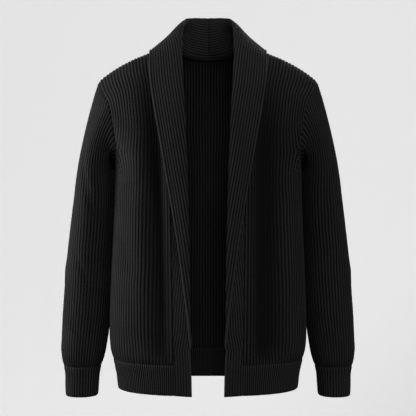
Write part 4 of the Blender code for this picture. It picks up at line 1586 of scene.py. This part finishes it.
@dataclass
class ShawlCollar:
    """The shawl collar and front bands, in two halves joined at the centre back.

    Each half is one long strip whose ribs run parallel to its free edge. It stands up from the neck
    seam, rolls over, and falls outwards. Towards the hem the fall narrows to nothing, and the strip
    runs on flat as the front band. The free edge is a knitted bead. Over the roll the ribs are
    pressed flatter, to 1 - roll_press * exp(-(distance / (2 * roll_radius)) ** 2) of their height.
    """

    torso: Torso
    finish: bpy.types.Material
    form: RibForm = RibForm(pitch=5.3 * MM, height=1.3 * MM, base=0.8 * MM)
    cut: Cut = Cut(0.175, 0.900, 0.095, Hold.FOLDED, ("back", "front_left", "hem_left"))
    stitch: float = RibKnit.stitch
    columns_per_rib: int = 5
    row_step: float = 5.5 * MM
    gap: float = 0.8 * MM
    seam_gap: float = 0.5 * MM
    ease: float = 10 * MM
    roll_radius: float = 4.2 * MM
    roll_lead: float = 7 * MM
    roll_press: float = 0.6
    lead_share: float = 0.45
    flat_fall: float = 1 * MM
    full_fall: float = 32 * MM
    bead_radius: float = 2.65 * MM
    bead_steps: tuple[float, float, float] = (0.0, 0.15, 0.5)
    bead_clear: tuple[float, float] = (1.6, 2.6)
    bead_at_hem: float = 0.45
    bead_hem_clear: float = 8 * MM
    back_share: float = 0.8
    edge_rib: float = 0.5
    sway: float = 0.035
    section_steps: int = 500
    beside_opening: tuple[float, float, float] = (0.15, 0.0, -0.30)
    sections: Table = Table(
        "along roll_x roll_y roll_z free_x free_y free_z turn bulge",
        (
            (0.000, 0.000, 0.088, 0.081, 0.000, 0.100, 0.006, 90, 0.2),
            (0.045, 0.030, 0.082, 0.080, 0.050, 0.095, 0.003, 72, -0.2),
            (0.090, 0.0465, 0.060, 0.0735, 0.092, 0.066, -0.006, 38, -0.4),
            (0.130, 0.0520, 0.022, 0.0555, 0.1150, 0.018, -0.002, 4, 0.6),
            (0.185, 0.0520, -0.026, 0.014, 0.1170, -0.038, -0.018, -30, 1.0),
            (0.240, 0.0505, -0.076, -0.045, 0.1150, -0.077, -0.060, -62, 0.9),
            (0.300, 0.0465, -0.107, -0.105, 0.1060, -0.103, -0.118, -82, 0.9),
            (0.400, 0.0415, -0.1215, -0.208, 0.0895, -0.1165, -0.210, -90, 0.9),
            (0.500, 0.0380, -0.1235, -0.308, 0.0720, -0.1200, -0.308, -90, 0.9),
            (0.600, 0.0360, -0.1250, -0.408, 0.0560, -0.1225, -0.408, -90, 0.9),
            (0.690, 0.0345, -0.1255, -0.498, 0.0445, -0.1265, -0.498, -90, 0.9),
            (0.740, 0.0340, -0.1240, -0.548, 0.0380, -0.1290, -0.548, -90, 0.9),
            (0.770, 0.0334, -0.1215, -0.588, 0.0342, -0.1225, -0.588, -90, 0.9),
            (0.804, 0.0318, -0.1210, -0.622, 0.0320, -0.1210, -0.622, -90, 0.9),
            (0.862, 0.0305, -0.1160, -0.681, 0.0306, -0.1160, -0.681, -90, 0.9),
        ),
    )

    def seam(self) -> tuple[Array, Array, Array]:
        """The edge that the collar is sewn to, from the centre back to the hem.

        Returns:
            Its evenly spread points, the body's normals, and the unit ways to the opening.
        """
        neck = slice(None, self.torso.panels[Half.BACK].shoulder, -1)
        back, front = (self.torso.panels[half].chest() for half in (Half.BACK, Half.FRONT))
        hem = self.torso.hem_band(Half.FRONT, HemBand.front_ribs, 1, HemBand.rows)
        points, normals = (
            np.concatenate([behind[-1, neck], ahead[::-1, -1], below[1:, -1]])
            for behind, ahead, below in zip(back, front, hem)
        )
        along = distance_along(points)
        even = np.linspace(0, along[-1], int(along[-1] / self.row_step) + 1)
        points = pick_along(points, even)
        normals = np.stack([np.interp(even, along, normals[:, axis]) for axis in range(3)], axis=-1)
        way = unit(np.cross(np.gradient(points, axis=0), normals))
        if np.median(np.sum(way * (points - self.beside_opening), axis=-1)) < 0:
            way = -way
        way[0, 0] = normals[0, 0] = 0
        return points, unit(normals), unit(way)

    def line(self, start: Array, roll: Array, free: Array, over: Array, bulge: float) -> Array:
        """One section of the strip, as a fine line from the seam over the roll to the free edge.

        Args:
            start: The seam's point.
            roll: The roll's top.
            free: The free edge's point.
            over: The way that the roll turns over, a unit vector.
            bulge: How far the fall's middle stands out, in roll radii.

        Returns:
            The points of a smooth curve through them, eased round the roll's radius.
        """
        fall = float(np.linalg.norm(free - roll))
        share = float(ramp(np.array(fall), self.flat_fall, self.full_fall))
        if share == 0:
            return np.linspace(start, free, self.section_steps)
        radius = self.roll_radius * share
        into_stand, into_fall = unit(start - roll), unit(free - roll)
        knots = np.stack(
            [
                start,
                (start + roll) / 2 - over * radius,
                roll + into_stand * self.roll_lead - over * radius,
                roll,
                roll + into_fall * min(self.roll_lead, fall * self.lead_share) + over * radius,
                (roll + free) / 2 + over * radius * bulge,
                free,
            ]
        )
        reach = distance_along(knots)
        fine = np.linspace(0, reach[-1], self.section_steps)
        return np.stack([smooth(fine, reach, knots[:, axis]) for axis in range(3)], axis=-1)

    def grid(self) -> KnitGrid:
        """The left half: a row for each section, and columns from the seam to the free edge.

        Columns keep their distance from the free edge, as the ribs do, and those that a narrower
        section has no room for close up on its seam.

        Returns:
            Its grid.
        """
        seam, seam_normals, way = self.seam()
        start = seam + way * self.gap
        along_seam = distance_along(seam)
        at = {name: self.sections.at(name, along_seam) for name in self.sections.names.split()[1:]}
        roll = np.stack([at["roll_x"], at["roll_y"], at["roll_z"]], axis=-1)
        free = np.stack([at["free_x"], at["free_y"], at["free_z"]], axis=-1)
        turn = np.radians(at["turn"])
        over = np.stack([np.cos(turn), np.sin(turn), 0 * turn], axis=-1)
        lines = [self.line(*section) for section in zip(start, roll, free, over, at["bulge"])]
        widths = np.array([distance_along(line)[-1] for line in lines])
        step = self.form.pitch / self.columns_per_rib
        even = np.arange(1, math.ceil(widths.max() / step) + 1)
        from_free = np.concatenate([self.bead_steps, even])[::-1] * step
        places = np.maximum(widths[:, None] - from_free[None, :], 0)
        points, ahead, behind = (
            np.stack([pick_along(line, place + shift) for line, place in zip(lines, places)])
            for shift in (0.0, MM, -MM)
        )
        at_seam = places <= TOUCHING
        shut = np.pad(at_seam[:, :-1] & at_seam[:, 1:], ((0, 0), (0, 1)))
        # A shut point has its own column's slope no more, so it takes the strip's
        strip_way = np.gradient(start, axis=0)[:, None]
        along = np.where(at_seam[..., None], strip_way, np.gradient(points, axis=0))
        normals = unit(np.cross(along, unit(ahead - behind)))
        if normals[0, points.shape[1] // 2, 1] > 0:
            normals = -normals
        share = ramp(places, 0, self.ease)[..., None]
        normals = unit(normals * share - seam_normals[:, None] * (1 - share))
        normals[0, :, 0] = 0
        points[0, :, 0] = self.seam_gap / 2

        wales = along_seam[:, None] + 0 * places
        ribs = np.maximum(from_free / self.form.pitch, self.edge_rib)[None, :] + 0 * places
        ribs = ribs + wander(ribs, wales, self.sway)
        from_hem = (along_seam[-1] - along_seam)[:, None]
        from_roll = places - np.linalg.norm(roll - start, axis=-1)[:, None]
        pressed = self.roll_press * np.exp(-((from_roll / (2 * self.roll_radius)) ** 2))
        bead_ends, ribs_begin = (share * self.bead_radius for share in self.bead_clear)
        rise = seam_fade(np.minimum(places, wales)) * ramp(from_free, bead_ends, ribs_begin)
        rise = rise * end_fade(from_hem) * (1 - pressed)
        face, back = self.form.walls(ribs, rise)
        # The bead is half a circle across, and slimmer where it meets the hem
        inside = np.clip(1 - (from_free / self.bead_radius - 1) ** 2, 0, 1)
        slim = self.bead_at_hem + (1 - self.bead_at_hem) * ramp(from_hem, 0, self.bead_hem_clear)
        rounded = slim * (self.bead_radius * np.sqrt(inside))
        near = (from_free < self.bead_radius)[None, :]
        face, back = (np.where(near, rounded, np.maximum(wall, rounded)) for wall in (face, back))
        return KnitGrid(
            points=points,
            normals=normals,
            ribs=ribs,
            wales=wales,
            face=face,
            back=back * self.back_share,
            shut=shut,
        )

    def build(self) -> None:
        """Makes both halves."""
        left = self.grid()
        for side, grid in (("left", left), ("right", left.mirrored())):
            piece = shell_mesh("knit_collar_" + side, grid, self.stitch)
            dress(piece, "collar_" + side, self.finish, self.cut.on(side))


@dataclass
class NeckTape:
    """The plain tape that covers the back neck seam, inside."""

    torso: Torso
    finish: bpy.types.Material
    width: float = 11 * MM
    thickness: float = 1 * MM
    clearance: float = 1.5 * MM
    cut: Cut = Cut(0.20, 0.011, 0.0022, Hold.LAID, ("back",))
    rows: int = 8
    top_share: float = 0.05
    chest_rows: int = 5

    def build(self) -> None:
        """Makes the tape along the top of the back's inner face, as steep as its top rows."""
        panel = self.torso.panels[Half.BACK]
        chest, normals = panel.chest()
        inset = self.torso.neck_turn_ribs * self.torso.columns_per_rib
        pick = slice(panel.shoulder + inset, None)
        depth = self.clearance + self.thickness / 2
        top = chest[-1, pick] - normals[-1, pick] * depth
        down = unit(chest[-1 - self.chest_rows, pick] - chest[-1, pick])
        shares = np.linspace(self.top_share, 1, self.rows)[:, None, None]
        points = top + down * self.width * shares
        facing = -np.repeat(normals[-1:, pick], self.rows, axis=0)
        points[:, -1, 0] = facing[:, -1, 0] = 0
        half_thickness = np.full(points.shape[:2], self.thickness / 2)
        reach, *_ = from_edges(points)
        half = KnitGrid(
            points=points,
            normals=unit(facing),
            ribs=reach / MM,
            wales=shares[..., 0] * self.width + 0 * reach,
            face=half_thickness,
            back=half_thickness,
        )
        piece = shell_mesh("neck_seam_tape", half.joined_to_mirror(), MM)
        dress(piece, "neck_tape", self.finish, self.cut)


# ---------------------------------------------------------------- the studio


@dataclass(frozen=True)
class FarLamp:
    """A far soft lamp, which lights every place alike, as the sun does.

    Attributes:
        name: Its name.
        strength: Its strength, in watts per square metre.
        turn: How it is turned from straight down, in radians about X, Y and Z.
    """

    name: str
    strength: float
    turn: tuple[float, float, float]


@dataclass
class Studio:
    """A plain pale floor that curves up all round, soft lights, and the photo's camera angle."""

    floor_height: float = -3.4
    radius: float = 5.0
    wall_height: float = 5.0
    curve: float = 1.5
    squareness: float = 5.0
    floor_turns: int = 96
    floor_rings: int = 8
    curve_rings: int = 12
    paper: str = "#A8A8A8"
    paper_roughness: float = 0.95
    paper_specular: float = 0.1
    camera_height: float = -0.321
    camera_distance: float = 1.9
    lens: float = 81.0
    sensor: float = 36.0
    room: float = 0.65
    lamp_angle: float = 0.35
    lamps: tuple[FarLamp, ...] = (
        FarLamp("key", 3.8, (0.92, 0.0, 0.06)),
        FarLamp("front", 2.4, (0.95, 0.0, 0.72)),
        FarLamp("back", 1.6, (1.05, 0.0, 2.7)),
    )
    side_place: tuple[float, float, float] = (-1.3, -0.05, -0.1)
    side_target: tuple[float, float, float] = (0.0, 0.0, -0.32)
    side_size: float = 0.5
    side_watts: float = 62.0

    def stage(self) -> None:
        """The floor: a rounded square whose rim sweeps up by a quarter circle into a wall.

        A ring is (x / reach) ** n + (y / reach) ** n = 1, where n is the squareness.
        """
        turns = np.linspace(0, 2 * np.pi, self.floor_turns + 1)[:-1]
        sweep = np.linspace(0, np.pi / 2, self.curve_rings + 1)[1:]
        flat = self.radius - self.curve
        level = np.linspace(0, flat, self.floor_rings)
        reach = np.concatenate([level, flat + self.curve * np.sin(sweep), [self.radius]])
        rise = np.concatenate([0 * level, self.curve * (1 - np.cos(sweep)), [self.wall_height]])
        x, y = (
            reach[:, None] * np.sign(wave) * np.abs(wave) ** (2 / self.squareness)
            for wave in (np.cos(turns), np.sin(turns))
        )
        places = np.stack([x, y, self.floor_height + rise[:, None] + 0 * x], axis=-1)
        index = np.arange(x.size).reshape(x.shape)
        following = np.roll(index, -1, axis=1)
        quads = np.stack([index[:-1], index[1:], following[1:], following[:-1]], axis=-1)
        mesh = bpy.data.meshes.new("floor")
        mesh.from_pydata(places.reshape(-1, 3).tolist(), [], quads.reshape(-1, 4).tolist())
        mesh.shade_smooth()
        floor = bpy.data.objects.new("floor", mesh)
        bpy.context.scene.collection.objects.link(floor)
        paper = bpy.data.materials.new("matt background paper")
        paper.use_nodes = True
        shader = paper.node_tree.nodes["Principled BSDF"]
        shader.inputs["Base Color"].default_value = linear(self.paper)
        shader.inputs["Roughness"].default_value = self.paper_roughness
        shader.inputs["Specular IOR Level"].default_value = self.paper_specular
        mesh.materials.append(paper)

    def light(
        self,
        data: bpy.types.Light,
        place: tuple[float, float, float],
        turn: tuple[float, float, float],
    ) -> None:
        """Puts a lamp in the scene.

        Args:
            data: The lamp's own sizes.
            place: Where it is.
            turn: How it is turned from straight down, in radians about X, Y and Z.
        """
        lamp = bpy.data.objects.new(data.name, data)
        lamp.location, lamp.rotation_euler = place, turn
        bpy.context.scene.collection.objects.link(lamp)

    def lights(self) -> None:
        """Lights the garment.

        The far key is above the front and a weaker far lamp at its upper right, a third far one
        lights the back, a near square one at the left lights the sleeve, and the room is pale.
        """
        for lamp in self.lamps:
            data = bpy.data.lights.new(lamp.name, "SUN")
            data.energy, data.angle = lamp.strength, self.lamp_angle
            self.light(data, (0.0, 0.0, 0.0), lamp.turn)
        data = bpy.data.lights.new("side", "AREA")
        data.energy, data.size = self.side_watts, self.side_size
        way = np.subtract(self.side_target, self.side_place)
        pitch = math.acos(-way[2] / np.linalg.norm(way))
        self.light(data, self.side_place, (pitch, 0.0, math.atan2(-way[0], way[1])))
        world = bpy.data.worlds.new("studio")
        bpy.context.scene.world = world
        world.use_nodes = True
        ground = world.node_tree.nodes["Background"]
        ground.inputs["Color"].default_value = linear("#FFFFFF")
        ground.inputs["Strength"].default_value = self.room

    def camera(self) -> None:
        """A level camera straight in front, with a lens that frames 0.84 m at the garment."""
        data = bpy.data.cameras.new("camera")
        data.lens, data.sensor_width = self.lens, self.sensor
        camera = bpy.data.objects.new("camera", data)
        camera.location = (0.0, -self.camera_distance, self.camera_height)
        camera.rotation_euler = (math.pi / 2, 0.0, 0.0)
        bpy.context.scene.collection.objects.link(camera)
        bpy.context.scene.camera = camera

    def build(self) -> None:
        """Makes the floor, the lights and the camera."""
        self.camera()
        self.stage()
        self.lights()
        bpy.context.scene.view_settings.view_transform = "Standard"


def main() -> None:
    """Builds the studio and every piece of the garment, in order."""
    logging.basicConfig(level=logging.INFO, format="%(name)s: %(message)s")
    Studio().build()
    body_knit = RibKnit().material()
    # The finer knits have their own ridge tone, and their own fall of painted shade into the
    # valleys
    band_knit = RibKnit("charcoal fine rib knit", ridge="#181818", fall=4.0).material()
    collar_knit = RibKnit("charcoal collar rib knit", ridge="#101010", fall=1.8).material()
    torso = Torso()
    Fronts(torso, body_knit).build()
    Back(torso, body_knit).build()
    HemBand(torso, band_knit).build()
    Sleeves(torso, body_knit, band_knit).build()
    ShawlCollar(torso, collar_knit).build()
    NeckTape(torso, WovenTape().material()).build()


if __name__ == "__main__":
    main()
